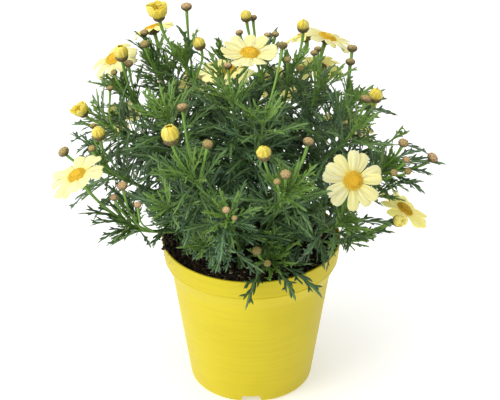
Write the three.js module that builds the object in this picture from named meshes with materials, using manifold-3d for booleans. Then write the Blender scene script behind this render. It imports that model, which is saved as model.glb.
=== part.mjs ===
// A potted marguerite daisy: a yellow nursery pot of soil, sixteen leafy stems that rise from it,
// pale lemon blooms with golden discs, and buds at every stage from closed to half open.
// Lengths are in millimetres and +Z is up. The origin is the middle of the pot's flat base.

import * as THREE from "three";
import { mergeVertices } from "three/addons/utils/BufferGeometryUtils.js";
import Module from "manifold-3d";

const wasm = await Module();
wasm.setup();

// Driving dimensions of the pot
const POT = {
  height: 116,
  rimRadius: 65,
  collarFootRadius: 63.4,
  collarHeight: 14.7,
  stepRadius: 57.9,
  stepDrop: 26.1,
  baseRadius: 44.6,
  cornerRadius: 3.2,
  wall: 1.2,
  floor: 1.6,
  sides: 26,
};

// The drain notches in the base edge: a trapezium seen from outside, with a pad over it inside
const DRAIN = {
  count: 3,
  footWidth: 15,
  headWidth: 12.8,
  height: 6,
  depth: 9,
  holeRadius: 2.2,
  holeSides: 6,
};

// Soil: a slightly domed surface with a heap at the left of the pot
const SOIL = {
  edgeHeight: 107.5,
  rings: [47, 27, 0],
  dome: 2.5,
  heapHeight: 4.5,
  heapAt: [-50, -6],
  heapSpread: 15,
  ripple: 0.5,
  rippleLengthX: 23,
  rippleLengthY: 35,
};

// Clearance between touching solids, and how far a cutter passes a face
const GAP = 0.35;
const OVERRUN = 10;

// Corners nearer than MERGING are one corner. Joining may move a corner by the first value of
// SMOOTHING, and where that closes a gap, by less, down to the last value.
const MERGING = 1e-4;
const SMOOTHING = { first: 0.06, last: 0.004, step: 0.8 };

// Stems: the foot in the soil, and the shoots that fork from it and lean outward
const STEM = {
  footRadius: 2.0,
  footSides: 5,
  footDepth: 24,
  footTop: 3,
  shootLift: 1,
  shootRadius: 1.6,
  sideRadius: 1.35,
  sides: 4,
  stepLength: 32,
  leastSteps: 3,
  pull: 0.35,
  leanHeight: 80,
  forkShares: [0, 0.34, 0.5, 0.2],
};

// Flower stalks: they leave a shoot one below another, the first of them nearest the tip
const STALK = {
  radius: 0.95,
  sides: 3,
  stepLength: 20,
  leastSteps: 2,
  pull: 0.35,
  highest: 0.9,
  spacing: 0.045,
  places: 4,
  budLift: 0.7,
};

// Each stem's foot in the soil and the tips of its shoots, the main one first
const STEMS = [
  { name: "stem_left_low", foot: [-30, -14], shoots: { A: [-83, -50, 152], Y: [-57, -30, 143] } },
  { name: "stem_left", foot: [-26, -2], shoots: { B: [-105, -20, 184], T: [-57, -35, 229] } },
  { name: "stem_front_left", foot: [-18, -24], shoots: { S: [-41, -70, 205], W: [-57, -72, 180] } },
  { name: "stem_left_upper", foot: [-22, 11], shoots: { D: [-90, 30, 218], C: [-107, 10, 206] } },
  { name: "stem_top_left", foot: [-12, 20], shoots: { F: [-46, 30, 240], E: [-69, 40, 232] } },
  { name: "stem_top", foot: [-3, 6], shoots: { G: [-20, -5, 246], Z: [8, 28, 240] } },
  { name: "stem_middle", foot: [-6, -12], shoots: { H: [-13, -30, 240], I: [8, -48, 232] } },
  { name: "stem_front_low_left", foot: [-8, -34], shoots: { U: [-16, -80, 178], X: [-32, -70, 150] } },
  { name: "stem_front_low", foot: [8, -30], shoots: { P: [24, -80, 196], V: [13, -52, 126] } },
  { name: "stem_top_right", foot: [8, 10], shoots: { J: [28, 10, 244], K: [49, 0, 236] } },
  { name: "stem_right_upper", foot: [18, -3], shoots: { L: [69, 0, 223], M: [71, -34, 220] } },
  { name: "stem_right", foot: [28, -8], shoots: { N: [94, -20, 184], O: [84, -34, 168] } },
  { name: "stem_right_low", foot: [25, -20], shoots: { Q: [61, -62, 161], R: [66, -45, 137] } },
  {
    name: "stem_back_left",
    foot: [-18, 33],
    shoots: { a: [-60, 60, 212], b: [-95, 45, 185], c: [-50, 92, 172], d: [-75, 75, 140] },
  },
  {
    name: "stem_back",
    foot: [3, 30],
    shoots: { e: [-20, 75, 218], f: [30, 75, 218], g: [5, 105, 175], h: [30, 95, 138] },
  },
  {
    name: "stem_back_right",
    foot: [22, 22],
    shoots: { i: [72, 55, 195], j: [102, 45, 170], k: [42, 98, 172], l: [95, 60, 138] },
  },
];

// Leaves: a narrow rib with two pairs of narrow lobes that point forward, and a pointed end
const LEAF = {
  length: 42,
  ribHalfWidth: 0.95,
  ribHeight: 1.15,
  lobes: [
    { axil: 0.38, tip: 0.63, reach: 0.2 },
    { axil: 0.58, tip: 0.87, reach: 0.165 },
  ],
  lastAxil: 0.77,
  lobeLift: 0.04,
};

// How leaves stand along a shoot, from the lowest leaf to the growing tip; angles are in radians
const LEAFAGE = {
  spacing: 4.6,
  rosette: 7,
  bareShare: 0.3,
  sideBareShare: 0.12,
  crowding: 0.7,
  goldenAngle: 2.39996,
  roundSpread: 0.5,
  openLow: 1.3,
  openTip: 0.55,
  openCurve: 1.4,
  openSpread: 0.25,
  bendLow: 0.75,
  bendTip: 0.3,
  bendSpread: 0.4,
  leastSize: 0.82,
  sizeSpread: 0.3,
  youngLoss: 0.4,
  youngCurve: 4,
};

// Which of those leaves are grown here: a few on each shoot, spread along it, clear of all else
const GROWN = {
  onMain: 4,
  onSide: 3,
  fromTip: 3,
  strideShare: 0.382,
  clearance: 0.4,
  bladeStart: 0.16,
};

// Leaves that reach out past the crown or hang over the rim: the shoot and the leaf's tip
const REACHING = { from: 0.93, bend: 0.9 };
const REACHING_LEAVES = [
  ["A", [-121, -60, 169]],
  ["A", [-107, -72, 152]],
  ["Y", [-70, -60, 142]],
  ["Y", [-45, -58, 133]],
  ["Y", [-70, -33, 124]],
  ["B", [-128, -10, 206]],
  ["C", [-124, 22, 208]],
  ["E", [-80, 36, 262]],
  ["F", [-53, 20, 275]],
  ["Z", [20, 36, 266]],
  ["K", [60, 2, 254]],
  ["L", [104, 2, 212]],
  ["N", [136, -30, 190]],
  ["N", [122, -8, 190]],
  ["O", [121, -36, 180]],
  ["R", [101, -50, 147]],
  ["V", [-5, -80, 103]],
  ["V", [49, -76, 109]],
  ["V", [30, -84, 112]],
  ["U", [-22, -112, 160]],
  ["P", [40, -110, 182]],
  ["b", [-130, 52, 180]],
  ["d", [-98, 92, 128]],
  ["c", [-62, 122, 160]],
  ["g", [4, 138, 168]],
  ["h", [34, 124, 122]],
  ["k", [56, 130, 164]],
  ["j", [134, 56, 150]],
  ["l", [122, 74, 128]],
];

// Open blooms: where the middle of each is, the way it faces, its shoot and the form of its rays
const BLOOMS = [
  { at: [-118.5, -58, 197], face: [-0.45, -0.1, 0.88], shoot: "A", form: "flat" },
  { at: [-97.5, 44, 236.5], face: [-0.42, -0.15, 0.9], shoot: "D", form: "fading" },
  { at: [-71, 70, 248], face: [-0.33, 0.38, 0.85], shoot: "E", form: "small" },
  { at: [-1, 1, 261], face: [0.02, -0.12, 1], shoot: "G", form: "raised" },
  { at: [-17, 30, 233.5], face: [-0.05, 0, 1], shoot: "Z", form: "flat" },
  { at: [54, 52, 249], face: [0.36, 0.17, 0.91], shoot: "K", form: "flat" },
  { at: [40, 92, 232], face: [-0.25, 0.42, 0.85], shoot: "f", form: "small" },
  { at: [50, 73.5, 217], face: [0.1, 0.7, 0.55], shoot: "i", form: "fading" },
  { at: [69, -65, 197.7], face: [0.1, -0.85, 0.5], shoot: "Q", form: "flat" },
  { at: [107.5, -27, 152.5], face: [0.57, 0, 0.82], shoot: "R", form: "flat" },
  { at: [72, 84, 160], face: [0.35, 0.8, 0.45], shoot: "k", form: "flat" },
  { at: [-98, 71, 175], face: [-0.55, 0.75, 0.4], shoot: "b", form: "flat" },
  { at: [-42, 108, 186], face: [-0.3, 0.8, 0.55], shoot: "a", form: "flat" },
  { at: [20, 126, 176], face: [0.1, 0.9, 0.45], shoot: "g", form: "flat" },
];

// Half-open blooms and yellow buds: the foot of the rays, the way they point, the shoot and the size
const HALF_OPEN = [
  { at: [-65, 38, 272.3], face: [-0.15, 0, 0.97], shoot: "F", size: 1 },
  { at: [-118, 5, 213], face: [-0.6, -0.1, 0.8], shoot: "C", size: 0.82 },
];

const YELLOW_BUDS = [
  { at: [-91, 20, 250], face: [-0.1, -0.1, 1], shoot: "D", size: 1.05 },
  { at: [-36, 25, 256], face: [-0.3, 0, 0.95], shoot: "F", size: 0.94 },
  { at: [-3.5, 40, 270.6], face: [-0.1, 0, 1], shoot: "Z", size: 0.86 },
  { at: [36.5, 33, 265.8], face: [0, 0, 1], shoot: "J", size: 0.95 },
  { at: [-53.5, -72, 233], face: [-0.15, -0.1, 1], shoot: "S", size: 1.25 },
  { at: [-105, -30, 213.4], face: [-0.2, -0.1, 1], shoot: "B", size: 1.02 },
  { at: [8.5, -88, 229], face: [-0.1, -0.15, 1], shoot: "P", size: 1.08 },
  { at: [86, -12, 233.7], face: [0.15, -0.1, 1], shoot: "M", size: 1.05 },
  { at: [101.5, -55, 160.2], face: [0.35, -0.75, 0.45], shoot: "R", size: 0.96 },
  { at: [-8, 112, 200], face: [0, 0.35, 0.9], shoot: "e", size: 1 },
  { at: [88, 74, 184], face: [0.35, 0.2, 0.9], shoot: "i", size: 1 },
];

// The small closed buds on each shoot: the middle of each, and its width
const SMALL_BUDS = {
  A: [[-88, -62, 192, 6.6], [-94.3, -58, 180.5, 4.8], [-77.4, -70, 181.6, 4.6]],
  B: [[-131, -22, 197, 7.5], [-110, -35, 206.5, 5], [-111, -8, 210, 4.6]],
  C: [[-99.5, 12, 229.5, 4.4]],
  D: [[-86.7, 24, 243, 6], [-96.7, 18, 239, 4.6]],
  E: [[-75.6, 36, 261.4, 5.6], [-75, 25, 257.7, 6.2]],
  F: [[-45.5, 35, 282, 7.2]],
  H: [[-16, -12, 258.5, 5.8]],
  I: [[21.5, -8, 272.3, 6.4]],
  J: [[25, -5, 260, 4.6]],
  K: [[46.5, 15, 258.6, 5], [43.5, 5, 260.4, 4.8]],
  L: [[71, 24, 255, 6.8], [69.6, 18, 247.3, 6.4]],
  M: [[78.6, -24, 239.3, 6.6]],
  N: [[126.5, -25, 193.8, 7.6], [105, -32, 209.2, 6.6], [107, -40, 200.3, 4.8], [98, -47, 194, 4.8],
    [108.2, -40, 191.3, 4.8]],
  P: [[38.2, -72, 231.5, 6.8], [22.6, -94, 218.4, 6.8], [17, -97, 214.5, 4.6]],
  S: [[-46.7, -45, 243.3, 7.2], [-29.2, -74, 230.5, 6.8]],
  U: [[-16.8, -97, 193, 4.8], [-11.2, -98, 187.4, 3.6]],
  V: [[3.8, -72, 146.3, 6], [11, -73, 137, 4.8]],
  Z: [[1.1, 46, 268.5, 5.6], [17, 28, 264, 4.8], [-8.5, 30, 264.3, 5], [11.2, 28, 263.3, 4.4]],
  a: [[-68, 78, 208, 6.2]],
  b: [[-104, 52, 184, 6.2]],
  c: [[-68, 104, 188, 6.2]],
  e: [[-18, 96, 204, 6.2]],
  f: [[36, 66, 218, 6.2]],
  g: [[-10, 124, 180, 6.2]],
  i: [[90, 66, 196, 6.2]],
  j: [[96, 54, 152, 6.2]],
};

// Ray florets: the ring they grow from, then [radius, height, half width] in the middle and at the end
const RAYS = {
  ringRadius: 5,
  ringThickness: 0.9,
  ridge: 0.9,
  leastStretch: 0.94,
  stretchSpread: 0.1,
  sway: 1.4,
  flat: { count: 12, middle: [15, 1.0, 3.65], end: [21, 0.2, 2.3] },
  raised: { count: 12, middle: [15, 1.4, 3.65], end: [20.6, 3.6, 2.3] },
  fading: { count: 11, middle: [13.5, 0.2, 3.4], end: [18.5, -4.2, 2.1] },
  small: { count: 11, middle: [11.5, 0.6, 3.1], end: [16, -0.6, 2] },
  half: { count: 9, middle: [6.2, 4.6, 2.2], end: [7.2, 9.8, 1.8] },
};

// Turned pieces: [radius, height] from the axis and back to it, with florets, scales or folds as relief
const DISC = {
  sides: 10,
  relief: 0.05,
  profile: [[0, 0], [6.7, 0], [7, 1.1], [4.3, 2.9], [0, 2.7]],
};
const CUP = {
  sides: 8,
  relief: 0.07,
  stalkEnd: -3,
  profile: [[0, -3.7], [3.5, -2.6], [5.7, -GAP], [0, -GAP]],
};
const BUD_CUP = {
  sides: 6,
  relief: 0.07,
  stalkEnd: -2.4,
  profile: [[0, -3.1], [2.8, -2.2], [4.1, -GAP], [0, -GAP]],
};
const YELLOW_BUD = {
  sides: 8,
  relief: 0.06,
  profile: [[0, 0], [3.4, 0], [4.2, 2.4], [3.2, 5.4], [0, 7.2]],
};
const SMALL_BUD = {
  width: 7,
  sides: 6,
  relief: 0.06,
  stalkEnd: -2.4,
  profile: [[0, -3.2], [3.4, -1.4], [3.4, 1.5], [0, 3]],
};

// Seeds of the random draws
const SEEDS = { shoots: 48, shootStep: 37, rays: 101, halfOpen: 307, bloomStep: 13 };

// Colours and roughness as seen on the plant
const FINISHES = {
  pot: { color: 0xe6cf3e, roughness: 0.35 },
  soil: { color: 0x2b211b, roughness: 0.95 },
  foliage: { color: 0x3f6a34, roughness: 0.6 },
  rays: { color: 0xf4ec9a, roughness: 0.55 },
  disc: { color: 0xeaa91e, roughness: 0.8 },
  youngRays: { color: 0xf1dc4e, roughness: 0.55 },
};

// One random number source, the same on every run
function seededRandom(seed) {
  let state = seed;
  return () => {
    state = (state * 16807) % 2147483647;
    return state / 2147483647;
  };
}

// A vector from its three numbers
function vector([x, y, z]) {
  return new THREE.Vector3(x, y, z);
}

// A closed geometry turned into a solid, with its faces pointing out
function solidOf(geometry) {
  geometry.deleteAttribute("normal");
  geometry.deleteAttribute("uv");
  const merged = mergeVertices(geometry, MERGING);
  const corners = merged.index.array;
  const faces = [];
  for (let i = 0; i < corners.length; i += 3) {
    const [a, b, c] = [corners[i], corners[i + 1], corners[i + 2]];
    if (a !== b && b !== c && c !== a) faces.push(a, b, c);
  }
  const build = (triangles) => new wasm.Manifold(new wasm.Mesh({
    numProp: 3,
    vertProperties: new Float32Array(merged.attributes.position.array),
    triVerts: new Uint32Array(triangles),
  }));
  const solid = build(faces);
  if (solid.volume() > 0) return solid;
  return build(faces.reverse());
}

// A solid turned back into a geometry
function geometryOf(solid) {
  const mesh = solid.getMesh();
  const geometry = new THREE.BufferGeometry();
  geometry.setAttribute("position", new THREE.BufferAttribute(mesh.vertProperties, 3));
  geometry.setIndex(new THREE.BufferAttribute(mesh.triVerts, 1));
  geometry.computeVertexNormals();
  return geometry;
}

// A geometry from corner points and triangles
function surface(points, triangles) {
  const geometry = new THREE.BufferGeometry();
  geometry.setAttribute("position", new THREE.Float32BufferAttribute(points.flat(), 3));
  geometry.setIndex(triangles.flat());
  return geometry;
}

// A profile turned round the Z axis
function turned(profile, sides) {
  const points = profile.map(([radius, height]) => new THREE.Vector2(radius, height));
  const geometry = new THREE.LatheGeometry(points, sides);
  geometry.rotateX(Math.PI / 2);
  return geometry;
}

// The same cup or closed bud at another size, with the end of its stalk
function sized(green, size) {
  const profile = green.profile.map(([radius, height]) => [radius * size, height * size]);
  return { ...green, profile, stalkEnd: green.stalkEnd * size };
}

// A turned piece with relief: every second column of its corners stands out
function ribbed({ profile, sides, relief }) {
  const geometry = turned(profile, sides);
  const place = geometry.attributes.position;
  for (let i = 0; i < place.count; i += 1) {
    const angle = Math.atan2(place.getY(i), place.getX(i));
    const swell = 1 + relief * Math.cos((angle * sides) / 2);
    place.setXYZ(i, place.getX(i) * swell, place.getY(i) * swell, place.getZ(i));
  }
  return geometry;
}

// A solid from a geometry that points up, stood on a place so that it points along an axis
function stood(geometry, at, axis) {
  const turn = new THREE.Quaternion().setFromUnitVectors(new THREE.Vector3(0, 0, 1), axis);
  geometry.applyQuaternion(turn);
  geometry.translate(at.x, at.y, at.z);
  return solidOf(geometry);
}

// A tube of few sides along a curve
function tube(curve, radius, sides, steps) {
  const corners = [];
  for (let i = 0; i < sides; i += 1) {
    const angle = (i / sides) * Math.PI * 2;
    corners.push(new THREE.Vector2(Math.cos(angle) * radius, Math.sin(angle) * radius));
  }
  const section = new THREE.Shape(corners);
  return solidOf(new THREE.ExtrudeGeometry(section, { steps, extrudePath: curve, bevelEnabled: false }));
}

// Pot: the outside, the hollow inside, and the notches with their drain holes
const collarFoot = POT.height - POT.collarHeight;
const stepFoot = POT.height - POT.stepDrop;
const collarSlope = (POT.rimRadius - POT.collarFootRadius) / POT.collarHeight;

function baseCorner() {
  return [0, 0.5, 1].map((share) => {
    const angle = (share * Math.PI) / 2;
    const reach = POT.baseRadius - POT.cornerRadius * (1 - Math.sin(angle));
    return [reach, POT.cornerRadius * (1 - Math.cos(angle))];
  });
}

function sideProfile(inset, brim) {
  return [
    [POT.stepRadius - inset, stepFoot],
    [POT.collarFootRadius - inset, collarFoot],
    [POT.rimRadius - inset + collarSlope * (brim - POT.height), brim],
    [0, brim],
  ];
}

function drainWedge(index, margin) {
  const foot = DRAIN.footWidth / 2 + margin;
  const head = DRAIN.headWidth / 2 + margin;
  const top = DRAIN.height + margin;
  const flare = ((foot - head) / top) * OVERRUN;
  const outline = new THREE.Shape([
    new THREE.Vector2(-foot - flare, -OVERRUN),
    new THREE.Vector2(foot + flare, -OVERRUN),
    new THREE.Vector2(head, top),
    new THREE.Vector2(-head, top),
  ]);
  const depth = DRAIN.depth + margin;
  const wedge = new THREE.ExtrudeGeometry(outline, { depth: depth + OVERRUN, bevelEnabled: false });
  wedge.rotateX(Math.PI / 2);
  wedge.translate(0, depth - POT.baseRadius, 0);
  wedge.rotateZ((index / DRAIN.count) * Math.PI * 2);
  return solidOf(wedge);
}

function drainHole(index) {
  const hole = new THREE.CylinderGeometry(DRAIN.holeRadius, DRAIN.holeRadius, OVERRUN, DRAIN.holeSides);
  hole.rotateX(Math.PI / 2);
  hole.translate(0, DRAIN.depth / 2 - POT.baseRadius, DRAIN.height);
  hole.rotateZ((index / DRAIN.count) * Math.PI * 2);
  return solidOf(hole);
}

function potSolid() {
  const outside = [[0, 0], ...baseCorner(), ...sideProfile(0, POT.height)];
  const inside = [
    [0, POT.floor],
    [POT.baseRadius - POT.wall, POT.floor],
    ...sideProfile(POT.wall, POT.height + OVERRUN),
  ];
  let hollow = solidOf(turned(inside, POT.sides));
  for (let index = 0; index < DRAIN.count; index += 1) {
    hollow = hollow.subtract(drainWedge(index, POT.wall));
  }
  let pot = solidOf(turned(outside, POT.sides)).subtract(hollow);
  for (let index = 0; index < DRAIN.count; index += 1) {
    pot = pot.subtract(drainWedge(index, 0));
    pot = pot.subtract(drainHole(index));
  }
  return pot;
}

// Soil: it fills the pot, and each stem's foot stands in a plain hole in it
function soilHeight(x, y) {
  const share = Math.hypot(x, y) / POT.rimRadius;
  const away = Math.hypot(x - SOIL.heapAt[0], y - SOIL.heapAt[1]) / SOIL.heapSpread;
  const heap = SOIL.heapHeight * Math.exp((-away * away) / 2);
  const waveX = Math.sin((x / SOIL.rippleLengthX) * Math.PI * 2);
  const waveY = Math.cos((y / SOIL.rippleLengthY) * Math.PI * 2);
  return SOIL.edgeHeight + SOIL.dome * (1 - share * share) + heap + SOIL.ripple * waveX * waveY;
}

function soilSolid() {
  const inset = POT.wall + GAP;
  const edge = POT.collarFootRadius - inset + collarSlope * (SOIL.edgeHeight - collarFoot);
  const geometry = turned([
    [0, POT.floor + GAP],
    [POT.baseRadius - inset, POT.floor + GAP],
    ...sideProfile(inset, POT.height).slice(0, 2),
    ...[edge, ...SOIL.rings].map((radius) => [radius, SOIL.edgeHeight]),
  ], POT.sides);
  const place = geometry.attributes.position;
  for (let i = 0; i < place.count; i += 1) {
    const onTop = place.getZ(i) > collarFoot + GAP;
    if (onTop) place.setZ(i, soilHeight(place.getX(i), place.getY(i)));
  }
  let soil = solidOf(geometry);
  for (let index = 0; index < DRAIN.count; index += 1) {
    soil = soil.subtract(drainWedge(index, inset));
  }
  for (const { foot } of STEMS) {
    soil = soil.subtract(footCylinder(foot, STEM.footRadius + GAP, STEM.footDepth + GAP));
  }
  return soil;
}

function footCylinder([x, y], radius, depth) {
  const top = soilHeight(x, y) + STEM.footTop;
  const bottom = soilHeight(x, y) - depth;
  const foot = new THREE.CylinderGeometry(radius, radius, top - bottom, STEM.footSides);
  foot.rotateX(Math.PI / 2);
  foot.translate(x, y, (top + bottom) / 2);
  return solidOf(foot);
}

// Shoots: the main one rises from the foot, the others fork from it, and all lean outward
function shootCurve(start, startTangent, tip) {
  const end = vector(tip);
  const pull = start.distanceTo(end) * STEM.pull;
  const lean = end.clone().sub(new THREE.Vector3(0, 0, STEM.leanHeight)).normalize();
  return new THREE.CubicBezierCurve3(
    start,
    start.clone().addScaledVector(startTangent, pull),
    end.clone().addScaledVector(lean, -pull),
    end,
  );
}

function growShoots() {
  const grown = {};
  let seed = SEEDS.shoots;
  for (const stem of STEMS) {
    let main = null;
    Object.entries(stem.shoots).forEach(([key, tip], order) => {
      const [x, y] = stem.foot;
      let start = new THREE.Vector3(x, y, soilHeight(x, y) + STEM.shootLift);
      let tangent = new THREE.Vector3(0, 0, 1);
      if (main) {
        start = onSpine(main, STEM.forkShares[order]);
        tangent = main.curve.getTangent(STEM.forkShares[order]);
      }
      const curve = shootCurve(start, tangent, tip);
      const steps = Math.max(STEM.leastSteps, Math.round(curve.getLength() / STEM.stepLength));
      const spine = curve.getSpacedPoints(steps);
      grown[key] = { curve, spine, steps, isMain: main === null, stem: stem.name, seed };
      main ??= grown[key];
      seed += SEEDS.shootStep;
    });
  }
  return grown;
}

// A place on the middle line of a shoot's faceted tube: what grows from it starts exactly there
function onSpine(shoot, share) {
  const wanted = shoot.curve.getPoint(share);
  const nearest = new THREE.Vector3();
  let least = Infinity;
  shoot.spine.slice(1).forEach((corner, i) => {
    const part = new THREE.Line3(shoot.spine[i], corner);
    const found = part.closestPointToPoint(wanted, true, new THREE.Vector3());
    const distance = found.distanceTo(wanted);
    if (distance < least) {
      least = distance;
      nearest.copy(found);
    }
  });
  return nearest;
}

// A flower stalk leaves its shoot near the tip and ends along the way its head faces
function stalk(shoot, order, end, axis) {
  const share = STALK.highest - STALK.spacing * (order % STALK.places);
  const start = onSpine(shoot, share);
  const pull = start.distanceTo(end) * STALK.pull;
  const straight = end.clone().sub(start).normalize();
  const rise = shoot.curve.getTangent(share).add(straight).normalize();
  const curve = new THREE.CubicBezierCurve3(
    start,
    start.clone().addScaledVector(rise, pull),
    end.clone().addScaledVector(axis, -pull),
    end,
  );
  const steps = Math.max(STALK.leastSteps, Math.round(start.distanceTo(end) / STALK.stepLength));
  return tube(curve, STALK.radius, STALK.sides, steps);
}

// Leaves: where each stands on its shoot, the way it points, and how it bends
function leafPlaces(shoot) {
  const random = seededRandom(shoot.seed);
  const bare = shoot.isMain ? LEAFAGE.bareShare : LEAFAGE.sideBareShare;
  const leafy = shoot.curve.getLength() * (1 - bare);
  const count = Math.round(leafy / LEAFAGE.spacing) + LEAFAGE.rosette;
  const start = random() * Math.PI * 2;
  const places = [];
  for (let i = 0; i < count; i += 1) {
    const share = (i + 0.5) / count;
    const along = bare + (1 - bare) * share ** LEAFAGE.crowding;
    const axis = shoot.curve.getTangent(along);
    const side = axis.clone().cross(new THREE.Vector3(0, 1, 0)).normalize();
    const other = side.clone().cross(axis);
    const round = start + i * LEAFAGE.goldenAngle + (random() - 0.5) * LEAFAGE.roundSpread;
    const radial = side.multiplyScalar(Math.cos(round)).addScaledVector(other, Math.sin(round));
    const closing = (LEAFAGE.openLow - LEAFAGE.openTip) * share ** LEAFAGE.openCurve;
    const open = LEAFAGE.openLow - closing + (random() - 0.5) * LEAFAGE.openSpread;
    const young = 1 - LEAFAGE.youngLoss * share ** LEAFAGE.youngCurve;
    const length = LEAF.length * young * (LEAFAGE.leastSize + LEAFAGE.sizeSpread * random());
    const straightening = (LEAFAGE.bendLow - LEAFAGE.bendTip) * share;
    const bend = LEAFAGE.bendLow - straightening + (random() - 0.5) * LEAFAGE.bendSpread;
    const direction = axis.clone().multiplyScalar(Math.cos(open)).addScaledVector(radial, Math.sin(open));
    const up = axis.clone().multiplyScalar(Math.sin(open)).addScaledVector(radial, -Math.cos(open));
    places.push({ root: onSpine(shoot, along), direction, up, length, bend });
  }
  return places;
}

function reachingPlace(shoot, tip) {
  const root = onSpine(shoot, REACHING.from);
  const chord = vector(tip).sub(root);
  const half = REACHING.bend / 2;
  const length = (chord.length() * half) / Math.sin(half);
  chord.normalize();
  const rise = new THREE.Vector3(0, 0, 1).addScaledVector(chord, -chord.z).normalize();
  const direction = chord.clone().multiplyScalar(Math.cos(half)).addScaledVector(rise, Math.sin(half));
  const up = rise.clone().multiplyScalar(Math.cos(half)).addScaledVector(chord, -Math.sin(half));
  return { root, direction, up, length, bend: REACHING.bend };
}

// A point of a leaf: across and along its bent rib, and lifted off it
function leafPoint(place, across, along, lift) {
  const curl = place.bend / place.length;
  const turn = curl * along;
  const side = place.direction.clone().cross(place.up);
  const up = place.up.clone().multiplyScalar(Math.cos(turn)).addScaledVector(place.direction, Math.sin(turn));
  return place.root.clone()
    .addScaledVector(place.direction, Math.sin(turn) / curl)
    .addScaledVector(place.up, (Math.cos(turn) - 1) / curl)
    .addScaledVector(side, across)
    .addScaledVector(up, lift)
    .toArray();
}

// One leaf as a closed surface: a flat underside cut into lobes, and a ridge over the rib.
// A margin makes it larger all round, and a start share leaves out the foot of its stalk.
function leafSurface(place, margin, startShare) {
  const { length } = place;
  const half = LEAF.ribHalfWidth + margin;
  const lobeLift = LEAF.lobeLift * length - margin;
  const points = [];
  const add = (across, along, lift) => points.push(leafPoint(place, across, along * length, lift)) - 1;
  const edgeOn = (sign) => {
    const edge = [add(sign * half, startShare, -margin)];
    for (const lobe of LEAF.lobes) {
      edge.push(add(sign * half, lobe.axil, -margin));
      edge.push(add(sign * (lobe.reach * length + margin), lobe.tip, lobeLift));
    }
    edge.push(add(sign * half, LEAF.lastAxil, -margin));
    return edge;
  };
  const right = edgeOn(1);
  const left = edgeOn(-1);
  const tip = add(0, 1 + margin / length, -margin);
  const axils = [...LEAF.lobes.map((lobe) => lobe.axil), LEAF.lastAxil];
  const ridge = [startShare, ...axils].map((along) => add(0, along, LEAF.ribHeight + margin));
  const faces = [[left[0], right[0], ridge[0]]];
  const addUpper = (edge, sign) => {
    const face = (a, b, c) => faces.push(sign > 0 ? [a, b, c] : [a, c, b]);
    face(edge[0], edge[1], ridge[1]);
    face(edge[0], ridge[1], ridge[0]);
    LEAF.lobes.forEach((_, i) => {
      const [axil, point, next] = edge.slice(2 * i + 1, 2 * i + 4);
      face(axil, point, ridge[i + 2]);
      face(axil, ridge[i + 2], ridge[i + 1]);
      face(point, next, ridge[i + 2]);
      face(axil, next, point);
    });
    face(edge.at(-1), tip, ridge.at(-1));
  };
  addUpper(right, 1);
  addUpper(left, -1);
  const crossings = [0, ...axils.map((_, i) => 2 * i + 1)];
  axils.forEach((_, i) => {
    const [a, b] = [crossings[i], crossings[i + 1]];
    faces.push([left[a], right[b], right[a]], [left[a], left[b], right[b]]);
  });
  faces.push([left.at(-1), tip, right.at(-1)]);
  return surface(points, faces);
}

// Ray florets: one closed sheet, with a ring in the middle and a ridge along each ray
function raysSurface(form, seed) {
  const random = seededRandom(seed);
  const { count, middle, end } = RAYS[form];
  const step = (Math.PI * 2) / count;
  const points = [];
  const faces = [];
  const add = (radius, angle, across, height) => {
    const x = radius * Math.cos(angle) - across * Math.sin(angle);
    const y = radius * Math.sin(angle) + across * Math.cos(angle);
    return points.push([x, y, height]) - 1;
  };
  const notches = [];
  const roots = [];
  for (let i = 0; i < count; i += 1) {
    notches.push(add(RAYS.ringRadius, (i - 0.5) * step, 0, 0));
    roots.push(add(RAYS.ringRadius * Math.cos(step / 2), i * step, 0, RAYS.ringThickness));
  }
  for (let i = 0; i < count; i += 1) {
    const angle = i * step;
    const endRadius = end[0] * (RAYS.leastStretch + RAYS.stretchSpread * random());
    const sway = (random() - 0.5) * RAYS.sway;
    const middleHeight = middle[1] + sway;
    const endHeight = end[1] + sway * 2;
    const ridge = add(middle[0], angle, 0, middleHeight + RAYS.ridge);
    const right = add(middle[0], angle, -middle[2], middleHeight);
    const left = add(middle[0], angle, middle[2], middleHeight);
    const endRight = add(endRadius, angle, -end[2], endHeight);
    const endLeft = add(endRadius, angle, end[2], endHeight);
    const [before, after, root] = [notches[i], notches[(i + 1) % count], roots[i]];
    faces.push([before, right, ridge], [before, ridge, root], [after, root, ridge], [after, ridge, left]);
    faces.push([right, endRight, ridge], [endRight, endLeft, ridge], [endLeft, left, ridge]);
    faces.push([before, root, roots[(i + count - 1) % count]]);
    faces.push([before, after, left], [before, left, right]);
    faces.push([right, left, endLeft], [right, endLeft, endRight]);
  }
  for (let i = 1; i < count - 1; i += 1) {
    faces.push([roots[0], roots[i], roots[i + 1]], [notches[0], notches[i + 1], notches[i]]);
  }
  return surface(points, faces);
}

// The nodes of the plant, each with its finish and the solids that are joined in it
const nodes = [];

function addNode(name, finish, solids) {
  const node = { name, finish, solids, boxes: [] };
  nodes.push(node);
  return node;
}

// Stems with their shoots
const shoots = growShoots();
const stemNodes = {};
for (const stem of STEMS) {
  const foot = footCylinder(stem.foot, STEM.footRadius, STEM.footDepth);
  const tubes = Object.keys(stem.shoots).map((key) => {
    const { curve, isMain, steps } = shoots[key];
    return tube(curve, isMain ? STEM.shootRadius : STEM.sideRadius, STEM.sides, steps);
  });
  stemNodes[stem.name] = addNode(stem.name, FINISHES.foliage, [foot, ...tubes]);
}

// A flower stalk on its shoot's stem, with the green cup or bud at its end
function addStalk(key, at, axis, green) {
  const shoot = shoots[key];
  shoot.stalks = (shoot.stalks ?? -1) + 1;
  const end = at.clone().addScaledVector(axis, green.stalkEnd);
  stemNodes[shoot.stem].solids.push(stalk(shoot, shoot.stalks, end, axis), stood(ribbed(green), at, axis));
}

const twoDigits = (index) => String(index + 1).padStart(2, "0");

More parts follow.
